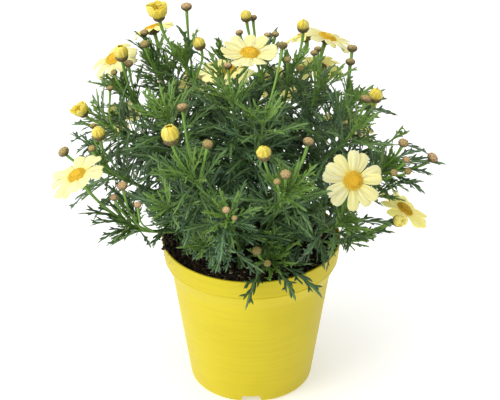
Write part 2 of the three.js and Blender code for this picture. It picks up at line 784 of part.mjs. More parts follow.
// Open blooms
BLOOMS.forEach((bloom, i) => {
  const at = vector(bloom.at);
  const axis = vector(bloom.face).normalize();
  const discSeat = at.clone().addScaledVector(axis, RAYS.ringThickness + GAP);
  const rays = stood(raysSurface(bloom.form, SEEDS.rays + i * SEEDS.bloomStep), at, axis);
  addStalk(bloom.shoot, at, axis, CUP);
  addNode(`bloom_${twoDigits(i)}_rays`, FINISHES.rays, [rays]);
  addNode(`bloom_${twoDigits(i)}_disc`, FINISHES.disc, [stood(ribbed(DISC), discSeat, axis)]);
});

// Half-open blooms
HALF_OPEN.forEach((bloom, i) => {
  const at = vector(bloom.at);
  const axis = vector(bloom.face).normalize();
  const geometry = raysSurface("half", SEEDS.halfOpen + i * SEEDS.bloomStep);
  const rays = stood(geometry.scale(bloom.size, bloom.size, bloom.size), at, axis);
  addStalk(bloom.shoot, at, axis, sized(CUP, bloom.size));
  addNode(`half_open_${twoDigits(i)}_rays`, FINISHES.youngRays, [rays]);
});

// Yellow buds
YELLOW_BUDS.forEach((bud, i) => {
  const at = vector(bud.at);
  const axis = vector(bud.face).normalize();
  const folded = ribbed(YELLOW_BUD).scale(bud.size, bud.size, bud.size);
  addStalk(bud.shoot, at, axis, sized(BUD_CUP, bud.size));
  addNode(`yellow_bud_${twoDigits(i)}`, FINISHES.youngRays, [stood(folded, at, axis)]);
});

// Small closed buds: each looks away from its shoot and a little upward
for (const [key, buds] of Object.entries(SMALL_BUDS)) {
  for (const [x, y, z, width] of buds) {
    const at = vector([x, y, z]);
    const away = at.clone().sub(onSpine(shoots[key], STALK.highest)).normalize();
    away.z += STALK.budLift;
    addStalk(key, at, away.normalize(), sized(SMALL_BUD, width / SMALL_BUD.width));
  }
}

addNode("pot", FINISHES.pot, [potSolid()]);
addNode("soil", FINISHES.soil, [soilSolid()]);

// A leaf grows only where the whole of it clears the other nodes and its blade clears its own stem
function boxOf(solid) {
  const { min, max } = solid.boundingBox();
  return new THREE.Box3(vector(min), vector(max));
}

function touches(trial, node) {
  const box = boxOf(trial);
  return node.solids.some((solid, i) => {
    node.boxes[i] ??= boxOf(solid);
    return box.intersectsBox(node.boxes[i]) && !trial.intersect(solid).isEmpty();
  });
}

function tryLeaf(place, stemNode) {
  const whole = solidOf(leafSurface(place, GROWN.clearance, 0));
  if (nodes.some((node) => node !== stemNode && touches(whole, node))) return false;
  const blade = solidOf(leafSurface(place, GROWN.clearance, GROWN.bladeStart));
  if (touches(blade, stemNode)) return false;
  stemNode.solids.push(solidOf(leafSurface(place, 0, 0)));
  return true;
}

for (const [key, tip] of REACHING_LEAVES) {
  tryLeaf(reachingPlace(shoots[key], tip), stemNodes[shoots[key].stem]);
}

for (const shoot of Object.values(shoots)) {
  const places = leafPlaces(shoot);
  const stride = Math.round(places.length * GROWN.strideShare);
  const wanted = shoot.isMain ? GROWN.onMain : GROWN.onSide;
  let grown = 0;
  for (let i = 0; i < places.length && grown < wanted; i += 1) {
    const place = places[(places.length - GROWN.fromTip + i * stride) % places.length];
    if (tryLeaf(place, stemNodes[shoot.stem])) grown += 1;
  }
}

// Solids joined and smoothed, as far as no two corners come to lie in one place
function joinedGeometry(solids) {
  const joined = solidOf(geometryOf(solids.reduce((sum, solid) => sum.add(solid))));
  for (let tolerance = SMOOTHING.first; tolerance > SMOOTHING.last; tolerance *= SMOOTHING.step) {
    const geometry = geometryOf(joined.simplify(tolerance));
    const apart = mergeVertices(geometry.clone().deleteAttribute("normal"), MERGING);
    if (apart.attributes.position.count === geometry.attributes.position.count) return geometry;
  }
  return geometryOf(joined);
}

// Each node becomes one named mesh
const plant = new THREE.Group();
for (const { name, finish, solids } of nodes) {
  const material = new THREE.MeshStandardMaterial({ ...finish, metalness: 0 });
  const mesh = new THREE.Mesh(joinedGeometry(solids), material);
  mesh.name = name;
  plant.add(mesh);
}

export default plant;
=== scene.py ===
# %% [markdown]
# # A potted marguerite daisy, dressed over its frame
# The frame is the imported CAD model: plain faceted solids for the pot, the soil, sixteen leafy stems,
# the blooms and the buds. Each step below makes a finer piece that takes the place of some of them.
# The plant is grown by rule. Shoots are curves, leaves turn round them by the golden angle, and every
# chance comes from a seeded source, so each run grows the same plant.

import math

import bpy
import numpy as np
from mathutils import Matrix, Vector, noise


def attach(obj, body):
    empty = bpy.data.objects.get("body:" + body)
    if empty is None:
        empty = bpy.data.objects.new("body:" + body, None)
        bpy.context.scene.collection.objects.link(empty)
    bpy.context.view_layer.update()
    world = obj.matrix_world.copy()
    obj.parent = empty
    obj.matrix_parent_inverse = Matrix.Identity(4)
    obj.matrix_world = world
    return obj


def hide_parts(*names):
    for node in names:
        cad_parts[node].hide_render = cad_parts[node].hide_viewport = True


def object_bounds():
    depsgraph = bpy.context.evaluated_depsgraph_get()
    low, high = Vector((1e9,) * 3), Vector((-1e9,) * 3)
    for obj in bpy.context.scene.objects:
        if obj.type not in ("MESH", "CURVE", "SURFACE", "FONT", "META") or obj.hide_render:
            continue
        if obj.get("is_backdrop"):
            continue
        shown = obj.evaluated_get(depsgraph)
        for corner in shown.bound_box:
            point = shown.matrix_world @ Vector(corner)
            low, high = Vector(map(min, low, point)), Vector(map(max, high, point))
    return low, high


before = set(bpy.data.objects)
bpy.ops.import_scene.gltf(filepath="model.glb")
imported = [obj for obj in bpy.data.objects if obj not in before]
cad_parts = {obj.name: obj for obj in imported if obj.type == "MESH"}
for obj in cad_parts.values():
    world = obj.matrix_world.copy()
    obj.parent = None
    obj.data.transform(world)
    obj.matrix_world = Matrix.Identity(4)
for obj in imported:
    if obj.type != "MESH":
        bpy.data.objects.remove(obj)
cad_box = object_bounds()
print("CAD nodes:", len(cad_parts), "box in mm:", [[round(v * 1000) for v in end] for end in cad_box])

# %% [markdown]
# ## Corners, triangles and traits
# Every piece here is a set of closed bodies: a leaf, a petal, a crumb of soil. A body is an array of
# corners in millimetres, an array of triangles, the number of its material, and three traits for each
# corner, such as how young a leaf is. Materials read the traits, so that one material can colour a
# thousand leaves, each in its own way. Arrays are used because they bend a whole leaf at once.

# %% Bodies and pieces
MM = 0.001
TAU = math.tau


def body(points, faces, finish=0, traits=(0, 0, 0)):
    """One closed body: its corners in millimetres, triangles, material number and traits."""
    points, traits = np.asarray(points, float), np.asarray(traits, float)
    return points, np.asarray(faces, int), finish, np.broadcast_to(traits, (len(points), 3))


def show(piece, node=None):
    """Hangs a piece on the root, and hides the CAD node that it stands for if one is given."""
    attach(piece, "root")
    if node:
        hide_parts(node)


def add_piece(name, bodies, materials, node=None):
    """Joins bodies in one object and shows it."""
    starts = np.cumsum([0] + [len(points) for points, _, _, _ in bodies])
    corners = np.concatenate([points for points, _, _, _ in bodies]) * MM
    faces = np.concatenate([part[1] + start for part, start in zip(bodies, starts)])
    finishes = np.concatenate([np.full(len(part[1]), part[2]) for part in bodies])
    traits = np.concatenate([part[3] for part in bodies])
    mesh = bpy.data.meshes.new(name)
    mesh.from_pydata(corners.tolist(), [], faces.tolist())
    mesh.polygons.foreach_set("material_index", finishes.astype(np.int32))
    mesh.shade_smooth()
    colours = mesh.color_attributes.new("traits", "FLOAT_COLOR", "POINT")
    colours.data.foreach_set("color", np.column_stack([traits, np.ones(len(traits))]).ravel())
    for material in materials:
        mesh.materials.append(material)
    piece = bpy.data.objects.new(name, mesh)
    bpy.context.scene.collection.objects.link(piece)
    show(piece, node)
    triangle_counts[name] = len(faces)


triangle_counts = {}


def grid_faces(rows, columns, around=False):
    """Triangles of a grid of corners; around joins its last column to its first."""
    wide = columns if around else columns - 1
    row, column = np.meshgrid(np.arange(rows - 1), np.arange(wide), indexing="ij")
    row, column = row.ravel(), column.ravel()
    a = row * columns + column
    b = row * columns + (column + 1) % columns
    c, d = b + columns, a + columns
    return np.concatenate([np.column_stack([a, b, c]), np.column_stack([a, c, d])])


def fan(ring, centre):
    """Triangles from a ring of corners to one corner."""
    ring = np.asarray(ring)
    return np.column_stack([ring, np.roll(ring, -1), np.full(len(ring), centre)])


def capped(rings, sides):
    """Triangles of a closed body: rings of corners, then the corner that ends it below and above."""
    count = rings * sides
    below, above = fan(np.arange(sides)[::-1], count), fan(np.arange(count - sides, count), count + 1)
    return np.concatenate([grid_faces(rings, sides, True), below, above])


def unit(vector):
    """The vector at length 1."""
    vector = np.asarray(vector, float)
    return vector / np.linalg.norm(vector, axis=-1, keepdims=True)


def stood(points, at, axis):
    """Points made round +Z, turned to point along an axis and moved to their place."""
    turn = Vector((0, 0, 1)).rotation_difference(Vector(axis)).to_matrix()
    return np.asarray(points) @ np.array(turn).T + np.asarray(at, float)


def spun(points, turn):
    """Points turned round +Z."""
    cos, sin = math.cos(turn), math.sin(turn)
    return np.asarray(points) @ np.array([[cos, sin, 0], [-sin, cos, 0], [0, 0, 1]])


print("a closed body with 4 rings of 5 corners has", len(capped(4, 5)), "triangles")

# %% [markdown]
# ## Chance
# A real plant is never even, but a model that changes with each run can't be checked. So one small
# source of chance is written out here. The solids were grown with the same source and the same seeds,
# which puts each leaf of this scene where the solid leaf stands. Things of one kind take seeds that
# are a step apart, and things that grow on a shoot add to its own seed.


# %% Seeded chance
def seeded_chance(seed):
    """A draw between 0 and 1 on each call, in the same order on every run."""
    state = seed

    def draw():
        nonlocal state
        state = state * 16807 % 2147483647
        return state / 2147483647

    return draw


SEEDS = dict(shoot=48, filling=9000, tuft=5000, leaf=7001, young_leaf=8101, leaf_pick=4099, head=911,
             bloom=101, outer=307, inner=401, bud=503, disc=601, crumb=71, chip=72, spill=73)
SHOOT_STEP, LEAF_STEP, BLOOM_STEP = 37, 97, 13
first = seeded_chance(SEEDS["shoot"])
print("the first draws are", [round(first(), 3) for _ in range(3)])

# %% [markdown]
# ## The plan of the plant
# These tables are the gardener's view of the plant, in millimetres from the middle of the pot's base.
# Each stem has a foot in the soil and shoots with their tips. Blooms and buds say where they are, the
# way they face and the shoot that carries them. They are the same values that the solids were made by.

# %% Plan of the plant
STEMS = [
    ("stem_left_low", (-30, -14), {"A": (-83, -50, 152), "Y": (-57, -30, 143)}),
    ("stem_left", (-26, -2), {"B": (-105, -20, 184), "T": (-57, -35, 229)}),
    ("stem_front_left", (-18, -24), {"S": (-41, -70, 205), "W": (-57, -72, 180)}),
    ("stem_left_upper", (-22, 11), {"D": (-90, 30, 218), "C": (-107, 10, 206)}),
    ("stem_top_left", (-12, 20), {"F": (-46, 30, 240), "E": (-69, 40, 232)}),
    ("stem_top", (-3, 6), {"G": (-20, -5, 246), "Z": (8, 28, 240)}),
    ("stem_middle", (-6, -12), {"H": (-13, -30, 240), "I": (8, -48, 232)}),
    ("stem_front_low_left", (-8, -34), {"U": (-16, -80, 178), "X": (-32, -70, 150)}),
    ("stem_front_low", (8, -30), {"P": (24, -80, 196), "V": (13, -52, 126)}),
    ("stem_top_right", (8, 10), {"J": (28, 10, 244), "K": (49, 0, 236)}),
    ("stem_right_upper", (18, -3), {"L": (69, 0, 223), "M": (71, -34, 220)}),
    ("stem_right", (28, -8), {"N": (94, -20, 184), "O": (84, -34, 168)}),
    ("stem_right_low", (25, -20), {"Q": (61, -62, 161), "R": (66, -45, 137)}),
    ("stem_back_left", (-18, 33), {"a": (-60, 60, 212), "b": (-95, 45, 185),
        "c": (-50, 92, 172), "d": (-75, 75, 140)}),
    ("stem_back", (3, 30), {"e": (-20, 75, 218), "f": (30, 75, 218),
        "g": (5, 105, 175), "h": (30, 95, 138)}),
    ("stem_back_right", (22, 22), {"i": (72, 55, 195), "j": (102, 45, 170),
        "k": (42, 98, 172), "l": (95, 60, 138)}),
]
REACHING_LEAVES = [
    ("A", (-121, -60, 169)), ("A", (-107, -72, 152)), ("Y", (-70, -60, 142)),
    ("Y", (-45, -58, 133)), ("Y", (-70, -33, 124)), ("B", (-128, -10, 206)),
    ("C", (-124, 22, 208)), ("E", (-80, 36, 262)), ("F", (-53, 20, 275)),
    ("Z", (20, 36, 266)), ("K", (60, 2, 254)), ("L", (104, 2, 212)),
    ("N", (136, -30, 190)), ("N", (122, -8, 190)), ("O", (121, -36, 180)),
    ("R", (101, -50, 147)), ("V", (-5, -80, 103)), ("V", (49, -76, 109)),
    ("V", (30, -84, 112)), ("U", (-22, -112, 160)), ("P", (40, -110, 182)),
    ("b", (-130, 52, 180)), ("d", (-98, 92, 128)), ("c", (-62, 122, 160)),
    ("g", (4, 138, 168)), ("h", (34, 124, 122)), ("k", (56, 130, 164)),
    ("j", (134, 56, 150)), ("l", (122, 74, 128)),
]
BLOOMS = [
    ((-118.5, -58, 197), (-0.45, -0.1, 0.88), "A", "flat"),
    ((-97.5, 44, 236.5), (-0.42, -0.15, 0.9), "D", "fading"),
    ((-71, 70, 248), (-0.33, 0.38, 0.85), "E", "small"),
    ((-1, 1, 261), (0.02, -0.12, 1), "G", "raised"),
    ((-17, 30, 233.5), (-0.05, 0, 1), "Z", "flat"),
    ((54, 52, 249), (0.36, 0.17, 0.91), "K", "flat"),
    ((40, 92, 232), (-0.25, 0.42, 0.85), "f", "small"),
    ((50, 73.5, 217), (0.1, 0.7, 0.55), "i", "fading"),
    ((69, -65, 197.7), (0.1, -0.85, 0.5), "Q", "flat"),
    ((107.5, -27, 152.5), (0.57, 0, 0.82), "R", "flat"),
    ((72, 84, 160), (0.35, 0.8, 0.45), "k", "flat"),
    ((-98, 71, 175), (-0.55, 0.75, 0.4), "b", "flat"),
    ((-42, 108, 186), (-0.3, 0.8, 0.55), "a", "flat"),
    ((20, 126, 176), (0.1, 0.9, 0.45), "g", "flat"),
]
HALF_OPEN = [
    ((-65, 38, 272.3), (-0.15, 0, 0.97), "F", 1),
    ((-118, 5, 213), (-0.6, -0.1, 0.8), "C", 0.82),
]
YELLOW_BUDS = [
    ((-91, 20, 250), (-0.1, -0.1, 1), "D", 1.05),
    ((-36, 25, 256), (-0.3, 0, 0.95), "F", 0.94),
    ((-3.5, 40, 270.6), (-0.1, 0, 1), "Z", 0.86),
    ((36.5, 33, 265.8), (0, 0, 1), "J", 0.95),
    ((-53.5, -72, 233), (-0.15, -0.1, 1), "S", 1.25),
    ((-105, -30, 213.4), (-0.2, -0.1, 1), "B", 1.02),
    ((8.5, -88, 229), (-0.1, -0.15, 1), "P", 1.08),
    ((86, -12, 233.7), (0.15, -0.1, 1), "M", 1.05),
    ((101.5, -55, 160.2), (0.35, -0.75, 0.45), "R", 0.96),
    ((-8, 112, 200), (0, 0.35, 0.9), "e", 1),
    ((88, 74, 184), (0.35, 0.2, 0.9), "i", 1),
]
SMALL_BUDS = {
    "A": [(-88, -62, 192, 6.6), (-94.3, -58, 180.5, 4.8), (-77.4, -70, 181.6, 4.6)],
    "B": [(-131, -22, 197, 7.5), (-110, -35, 206.5, 5), (-111, -8, 210, 4.6)],
    "C": [(-99.5, 12, 229.5, 4.4)],
    "D": [(-86.7, 24, 243, 6), (-96.7, 18, 239, 4.6)],
    "E": [(-75.6, 36, 261.4, 5.6), (-75, 25, 257.7, 6.2)],
    "F": [(-45.5, 35, 282, 7.2)],
    "H": [(-16, -12, 258.5, 5.8)],
    "I": [(21.5, -8, 272.3, 6.4)],
    "J": [(25, -5, 260, 4.6)],
    "K": [(46.5, 15, 258.6, 5), (43.5, 5, 260.4, 4.8)],
    "L": [(71, 24, 255, 6.8), (69.6, 18, 247.3, 6.4)],
    "M": [(78.6, -24, 239.3, 6.6)],
    "N": [(126.5, -25, 193.8, 7.6), (105, -32, 209.2, 6.6), (107, -40, 200.3, 4.8),
          (98, -47, 194, 4.8), (108.2, -40, 191.3, 4.8)],
    "P": [(38.2, -72, 231.5, 6.8), (22.6, -94, 218.4, 6.8), (17, -97, 214.5, 4.6)],
    "S": [(-46.7, -45, 243.3, 7.2), (-29.2, -74, 230.5, 6.8)],
    "U": [(-16.8, -97, 193, 4.8), (-11.2, -98, 187.4, 3.6)],
    "V": [(3.8, -72, 146.3, 6), (11, -73, 137, 4.8)],
    "Z": [(1.1, 46, 268.5, 5.6), (17, 28, 264, 4.8), (-8.5, 30, 264.3, 5), (11.2, 28, 263.3, 4.4)],
    "a": [(-68, 78, 208, 6.2)],
    "b": [(-104, 52, 184, 6.2)],
    "c": [(-68, 104, 188, 6.2)],
    "e": [(-18, 96, 204, 6.2)],
    "f": [(36, 66, 218, 6.2)],
    "g": [(-10, 124, 180, 6.2)],
    "i": [(90, 66, 196, 6.2)],
    "j": [(96, 54, 152, 6.2)],
}
print(len(STEMS), "stems,", len(BLOOMS), "open blooms,", sum(map(len, SMALL_BUDS.values())), "small buds")

# %% Sizes of the pot, the soil and the stems
POT = dict(height=116, rim=65, collar_foot=63.4, collar=14.7, step=57.9, step_drop=26.1, base=44.6,
           corner=3.2, wall=1.2, floor=1.6)
SOIL = dict(edge=107.5, dome=2.5, heap=4.5, heap_at=(-50, -6), heap_spread=15, ripple=0.5,
            wave_x=23, wave_y=35)
GAP = 0.35
STEM = dict(foot=2.0, foot_depth=24, foot_top=3, lift=1, shoot=1.6, side=1.35, taper=(1, 0.85, 0.55),
            pull=0.35, lean=80, forks=(0, 0.34, 0.5, 0.2))
STALK = dict(radius=0.95, taper=(1, 0.8, 0.8, 1.25), highest=0.9, spacing=0.045, places=4, bud_lift=0.7)
UPWARD = np.array([0, 0, 1.0])


def soil_height(x, y):
    """The height of the soil: a low dome with soft waves and a heap at the left."""
    share = np.hypot(x, y) / POT["rim"]
    away = np.hypot(x - SOIL["heap_at"][0], y - SOIL["heap_at"][1]) / SOIL["heap_spread"]
    waves = SOIL["ripple"] * np.sin(x / SOIL["wave_x"] * TAU) * np.cos(y / SOIL["wave_y"] * TAU)
    return SOIL["edge"] + SOIL["dome"] * (1 - share**2) + SOIL["heap"] * np.exp(-(away**2) / 2) + waves


print("soil height at the middle:", round(float(soil_height(0, 0)), 1), "mm")

# %% [markdown]
# ## Shoots
# A marguerite forks low down: a main shoot rises from the soil, side shoots leave it, and each leans
# out to the light. A Bezier curve says this with four points: it leaves its start along one direction
# and reaches its tip along another. A tube round such a curve, thinner to its end, is the shoot.


# %% Curves and tubes
LEAF_FINISH, STALK_FINISH, SCALE_FINISH = 0, 1, 2


class Curve:
    """A cubic Bezier curve."""

    def __init__(self, start, rise, end, lean, pull):
        reach = np.linalg.norm(np.subtract(end, start)) * pull
        self.poles = np.array([start, start + np.multiply(rise, reach), end - np.multiply(lean, reach), end])

    def point(self, share):
        t = np.asarray(share, float)[..., None]
        weights = np.concatenate([(1 - t) ** 3, 3 * (1 - t) ** 2 * t, 3 * (1 - t) * t**2, t**3], axis=-1)
        return weights @ self.poles

    def tangent(self, share):
        t = np.asarray(share, float)[..., None]
        weights = np.concatenate([(1 - t) ** 2, 2 * (1 - t) * t, t**2], axis=-1)
        return unit(weights @ np.diff(self.poles, axis=0))

    def length(self):
        return np.linalg.norm(np.diff(self.point(np.linspace(0, 1, 201)), axis=0), axis=1).sum()


RIB_DEPTH = 0.06


def tube(curve, radii, sides, steps, ribs, traits):
    """A closed green tube along a curve, with fine ribs along it as on a real stem."""
    share = np.linspace(0, 1, steps + 1)
    centre, axis = curve.point(share), curve.tangent(share)
    across = [unit(np.cross(axis[0], (0.3, 1, 0)))]
    for heading in axis[1:]:
        across.append(unit(across[-1] - heading * np.dot(across[-1], heading)))
    across = np.array(across)
    other = np.cross(axis, across)
    angle = np.arange(sides) / sides * TAU
    radius = np.interp(share, np.linspace(0, 1, len(radii)), radii)[:, None]
    radius = radius * (1 + RIB_DEPTH * np.cos(ribs * angle))
    ring = np.cos(angle)[:, None] * across[:, None] + np.sin(angle)[:, None] * other[:, None]
    points = centre[:, None] + radius[..., None] * ring
    points = np.concatenate([points.reshape(-1, 3), centre[:1], centre[-1:]])
    return body(points, capped(steps + 1, sides), STALK_FINISH, traits)


straight = Curve((0, 0, 0), UPWARD, (0, 0, 100), UPWARD, STEM["pull"])
print("a straight curve over 100 mm is", round(straight.length(), 1), "mm long")

# %% Shoots
shoots = {}
stem_bodies = {name: [] for name, _, _ in STEMS}
seed = SEEDS["shoot"]
for name, (x, y), tips in STEMS:
    ground = float(soil_height(x, y))
    below, above = np.array([x, y, ground - STEM["foot_depth"]]), np.array([x, y, ground + STEM["foot_top"]])
    foot = Curve(below, UPWARD, above, UPWARD, STEM["pull"])
    foot_radii = (STEM["foot"], STEM["foot"], STEM["shoot"])
    stem_bodies[name].append(tube(foot, foot_radii, sides=10, steps=6, ribs=5, traits=(0, 0.2, 0)))
    main = None
    for order, (key, tip) in enumerate(tips.items()):
        start, rise = np.array([x, y, ground + STEM["lift"]]), UPWARD
        if main:
            start, rise = main.point(STEM["forks"][order]), main.tangent(STEM["forks"][order])
        tip = np.array(tip, float)
        curve = Curve(start, rise, tip, unit(tip - (0, 0, STEM["lean"])), STEM["pull"])
        radii = np.multiply(STEM["taper"], STEM["side"] if main else STEM["shoot"])
        stem_bodies[name].append(tube(curve, radii, sides=10, steps=22, ribs=5, traits=(0.25, 0.5, 0)))
        shoots[key] = dict(curve=curve, stem=name, is_main=main is None, seed=seed, stalks=0)
        main = main or curve
        seed += SHOOT_STEP
print(len(shoots), "shoots, the longest", round(max(s["curve"].length() for s in shoots.values())), "mm")

# %% [markdown]
# ## Leaves
# A marguerite's leaf is cut almost to its midrib into narrow lobes, and each lobe has a tooth or two.
# One flat outline could be cut out and thickened, but its thin arms would be flat as paper. Here each
# arm is a strip of its own with a raised middle, like a grass blade, so that light runs along it. The
# strips start inside the midrib. Ten such leaves and five smaller young ones are made flat, each with
# its own lobes, and every leaf of the plant is one of them, bent down along its length.


# %% Flat leaves
def strip(path, half_widths, half_height, rib=0.0):
    """A closed strip along a path in the leaf's plane, which ends in a point: across, along, lift."""
    path = np.asarray(path, float)
    heading = unit(np.gradient(path, axis=0))
    side = np.column_stack([heading[:, 1], -heading[:, 0]]) * np.asarray(half_widths)[:, None]
    flat, high = np.zeros(len(path)), np.full(len(path), half_height)
    rings = np.stack([np.column_stack([path, high]), np.column_stack([path + side, flat]),
                      np.column_stack([path, -high]), np.column_stack([path - side, flat])], axis=1)
    points = np.concatenate([rings[:-1].reshape(-1, 3), [[*path[-1], 0]]])
    last = (len(path) - 2) * 4
    foot, point = [[0, 3, 2], [0, 2, 1]], fan(np.arange(last, last + 4), last + 4)
    faces = np.concatenate([grid_faces(len(path) - 1, 4, True), point, foot])
    return body(points, faces, LEAF_FINISH, (0, 0, rib))


LOBES = [(0.36, 0.27, 0.66), (0.54, 0.25, 0.56), (0.73, 0.17, 0.48)]
YOUNG_LOBES = [(0.44, 0.24, 0.5), (0.66, 0.18, 0.42)]
LOBE_LIFT, LOBE_HALF_WIDTH, LOST_LOBES = 0.22, 0.023, 0.12


def toothed_lobe(start, heading, length, half_width, teeth, draw):
    """A lobe that curves forward, and its teeth; headings are angles from the midrib to the right."""
    shares = np.array([0, 0.35, 0.7, 0.87, 1])
    angle = heading * (1 - 0.45 * shares)
    path = np.asarray(start) + length * shares[:, None] * np.column_stack([np.sin(angle), np.cos(angle)])
    arms = [strip(path, half_width * np.array([0.85, 1, 1, 0.65, 0]), half_width * 0.4)]
    for share, side in teeth:
        root = np.array([np.interp(share, shares, path[:, 0]), np.interp(share, shares, path[:, 1])])
        turn = np.interp(share, shares, angle) + side * (0.5 + 0.25 * draw())
        tip = root + (0.09 + 0.05 * draw()) * np.array([math.sin(turn), math.cos(turn)])
        tooth = [root, root * 0.4 + tip * 0.6, tip]
        arms.append(strip(tooth, half_width * np.array([0.9, 0.8, 0]), half_width * 0.36))
    return arms


def flat_leaf(seed, lobes, width):
    """One leaf of length 1 in its plane: its midrib and its pairs of forked lobes."""
    draw = seeded_chance(seed)
    along = np.array([0, 0.14, 0.28, 0.4, 0.52, 0.64, 0.78, 0.92, 1])
    sway = 0.03 * np.sin(along * 5 + TAU * draw())
    widths = width * np.array([1.2, 0.8, 0.85, 1.25, 1.45, 1.4, 1.2, 0.95, 0])
    parts = [strip(np.column_stack([sway * along, along]), widths, width * 0.45, 1)]
    for number, (root, reach, heading) in enumerate(lobes):
        for side in (-1, 1):
            if number and draw() < LOST_LOBES:
                continue
            low = root + 0.045 * side + 0.05 * (draw() - 0.5)
            length = reach * (0.75 + 0.45 * draw())
            turn = side * (heading + 0.22 * (draw() - 0.5))
            teeth = [(0.45 + 0.15 * draw(), side), (0.6 + 0.12 * draw(), -side)]
            teeth = teeth[: int(0.75 + 1.4 * draw() - number * 0.25)]
            start = (np.interp(low, along, sway * along), low)
            parts += toothed_lobe(start, turn, length, width, teeth, draw)
    starts = np.cumsum([0] + [len(part[0]) for part in parts])
    points = np.concatenate([part[0] for part in parts])
    points[:, 2] += LOBE_LIFT * np.abs(points[:, 0])
    faces = np.concatenate([part[1] + start for part, start in zip(parts, starts)])
    return points, faces, np.concatenate([part[3] for part in parts])


flat_leaves = [flat_leaf(SEEDS["leaf"] + LEAF_STEP * number, LOBES, LOBE_HALF_WIDTH) for number in range(10)]
young_leaves = [flat_leaf(SEEDS["young_leaf"] + LEAF_STEP * number, YOUNG_LOBES, 1.35 * LOBE_HALF_WIDTH)
                for number in range(5)]
print("one leaf has", len(flat_leaves[0][1]), "triangles, a young one", len(young_leaves[0][1]))

# %% [markdown]
# ## Where leaves stand
# Along a shoot each leaf turns on by the golden angle from the last, low leaves stand wide open and the
# young ones near the tip stand close round it. The rule and its order of draws are those of the solids.
# Between them the scene grows shorter filling leaves, closer on some shoots than on others, and a tuft
# of small young leaves at each tip: a tuft says how many leaves it has and how long they are.

# %% Leaf places
LEAF_LENGTH, SPACING, ROSETTE = 42, 4.6, 7
BARE_MAIN, BARE_SIDE = 0.3, 0.12
FILLING_SPACING, DENSE_SPACING, SPARSE_SPACING = 9.5, 5.0, 26
DENSE, SPARSE, YOUNG = "BCDENTAb", "YXKLMijF", "VPADETFNQa"
YOUNG_TUFT, OLD_TUFT = (16, 30), (9, 24)
REACHING = dict(root=0.93, half_bend=0.45)
GOLDEN_ANGLE = 2.39996


def leaf_place(root, direction, up, length, bend, youth, tone, reaches=False):
    """A leaf's root, heading, upper side, length, bend, youth and tone; reaches is for those set one by one.
    """
    return dict(root=root, direction=direction, up=up, length=length, bend=bend, youth=youth, tone=tone,
                reaches=reaches)


def around(axis, turn):
    """The direction away from a shoot at a turn round it."""
    side = unit(np.cross(axis, (0, 1, 0)))
    return side * math.cos(turn) + np.cross(side, axis) * math.sin(turn)


def opened(axis, turn, angle):
    """A leaf's heading and upper side when it stands open from its shoot by an angle."""
    radial, cos, sin = around(axis, turn), math.cos(angle), math.sin(angle)
    return axis * cos + radial * sin, axis * sin - radial * cos


def leaf_places(shoot):
    """The leaves along a shoot, by the rule of the solids."""
    draw = seeded_chance(shoot["seed"])
    bare = BARE_MAIN if shoot["is_main"] else BARE_SIDE
    count = int(shoot["curve"].length() * (1 - bare) / SPACING + 0.5) + ROSETTE
    start = draw() * TAU
    places = []
    for number in range(count):
        share = (number + 0.5) / count
        along = bare + (1 - bare) * share**0.7
        turn = start + number * GOLDEN_ANGLE + (draw() - 0.5) * 0.5
        angle = 1.3 - 0.75 * share**1.4 + (draw() - 0.5) * 0.25
        length = LEAF_LENGTH * (1 - 0.4 * share**4) * (0.82 + 0.3 * draw())
        bend = 0.75 - 0.45 * share + (draw() - 0.5) * 0.4
        direction, up = opened(shoot["curve"].tangent(along), turn, angle)
        places.append(leaf_place(shoot["curve"].point(along), direction, up, length, bend, share**3, draw()))
    return places


def filling_places(key, shoot):
    """The shorter leaves of small side twigs, which fill the plant between the main leaves."""
    draw = seeded_chance(shoot["seed"] + SEEDS["filling"])
    places = []
    spacing = DENSE_SPACING if key in DENSE else SPARSE_SPACING if key in SPARSE else FILLING_SPACING
    for _ in range(int(shoot["curve"].length() / spacing)):
        along = 0.22 + 0.72 * draw()
        axis, turn = shoot["curve"].tangent(along), draw() * TAU
        direction, up = opened(axis, turn, 1.2 - 0.6 * along + 0.3 * draw())
        length, bend = LEAF_LENGTH * (0.55 + 0.45 * draw()), 0.3 + 0.5 * draw()
        youth = (0.35 + 0.5 * draw()) * along if key in YOUNG else 0.2 * draw()
        places.append(leaf_place(shoot["curve"].point(along), direction, up, length, bend, youth, draw()))
    return places


def tuft_places(key, shoot):
    """The small young leaves that crowd a shoot's growing tip, more of them on a young shoot."""
    draw = seeded_chance(shoot["seed"] + SEEDS["tuft"])
    count, longest = YOUNG_TUFT if key in YOUNG else OLD_TUFT
    axis, root = shoot["curve"].tangent(1), shoot["curve"].point(0.985)
    places = []
    for number in range(count):
        direction, up = opened(axis, number * GOLDEN_ANGLE, 0.6 - 0.45 * number / count + 0.1 * draw())
        length = longest * (1 - 0.6 * number / count) + 4 * draw()
        places.append(leaf_place(root, direction, up, length, 0.25, 1, draw()))
    return places


def reaching_place(key, tip, tone, youth):
    """A leaf that reaches from near its shoot's tip to a given point."""
    root = shoots[key]["curve"].point(REACHING["root"])
    half = REACHING["half_bend"]
    length = np.linalg.norm(np.subtract(tip, root)) * half / math.sin(half)
    chord = unit(np.subtract(tip, root))
    rise = unit(UPWARD - chord * chord[2])
    direction = chord * math.cos(half) + rise * math.sin(half)
    up = rise * math.cos(half) - chord * math.sin(half)
    return leaf_place(root, direction, up, length, 2 * half, youth, tone, True)


def laid(points, place):
    """The flat leaf's corners, bent down along its length and set in place."""
    across, along, lift = np.asarray(points).T * place["length"]
    ahead, up, curl = place["direction"], place["up"], place["bend"] / place["length"]
    cos, sin = np.cos(along * curl), np.sin(along * curl)
    raised = np.outer(cos, up) + np.outer(sin, ahead)
    middle = place["root"] + np.outer(sin / curl, ahead) + np.outer((cos - 1) / curl, up)
    return middle + np.outer(across, np.cross(ahead, up)) + raised * lift[:, None]


print("leaves by the rule of the solids:", sum(len(leaf_places(shoot)) for shoot in shoots.values()))
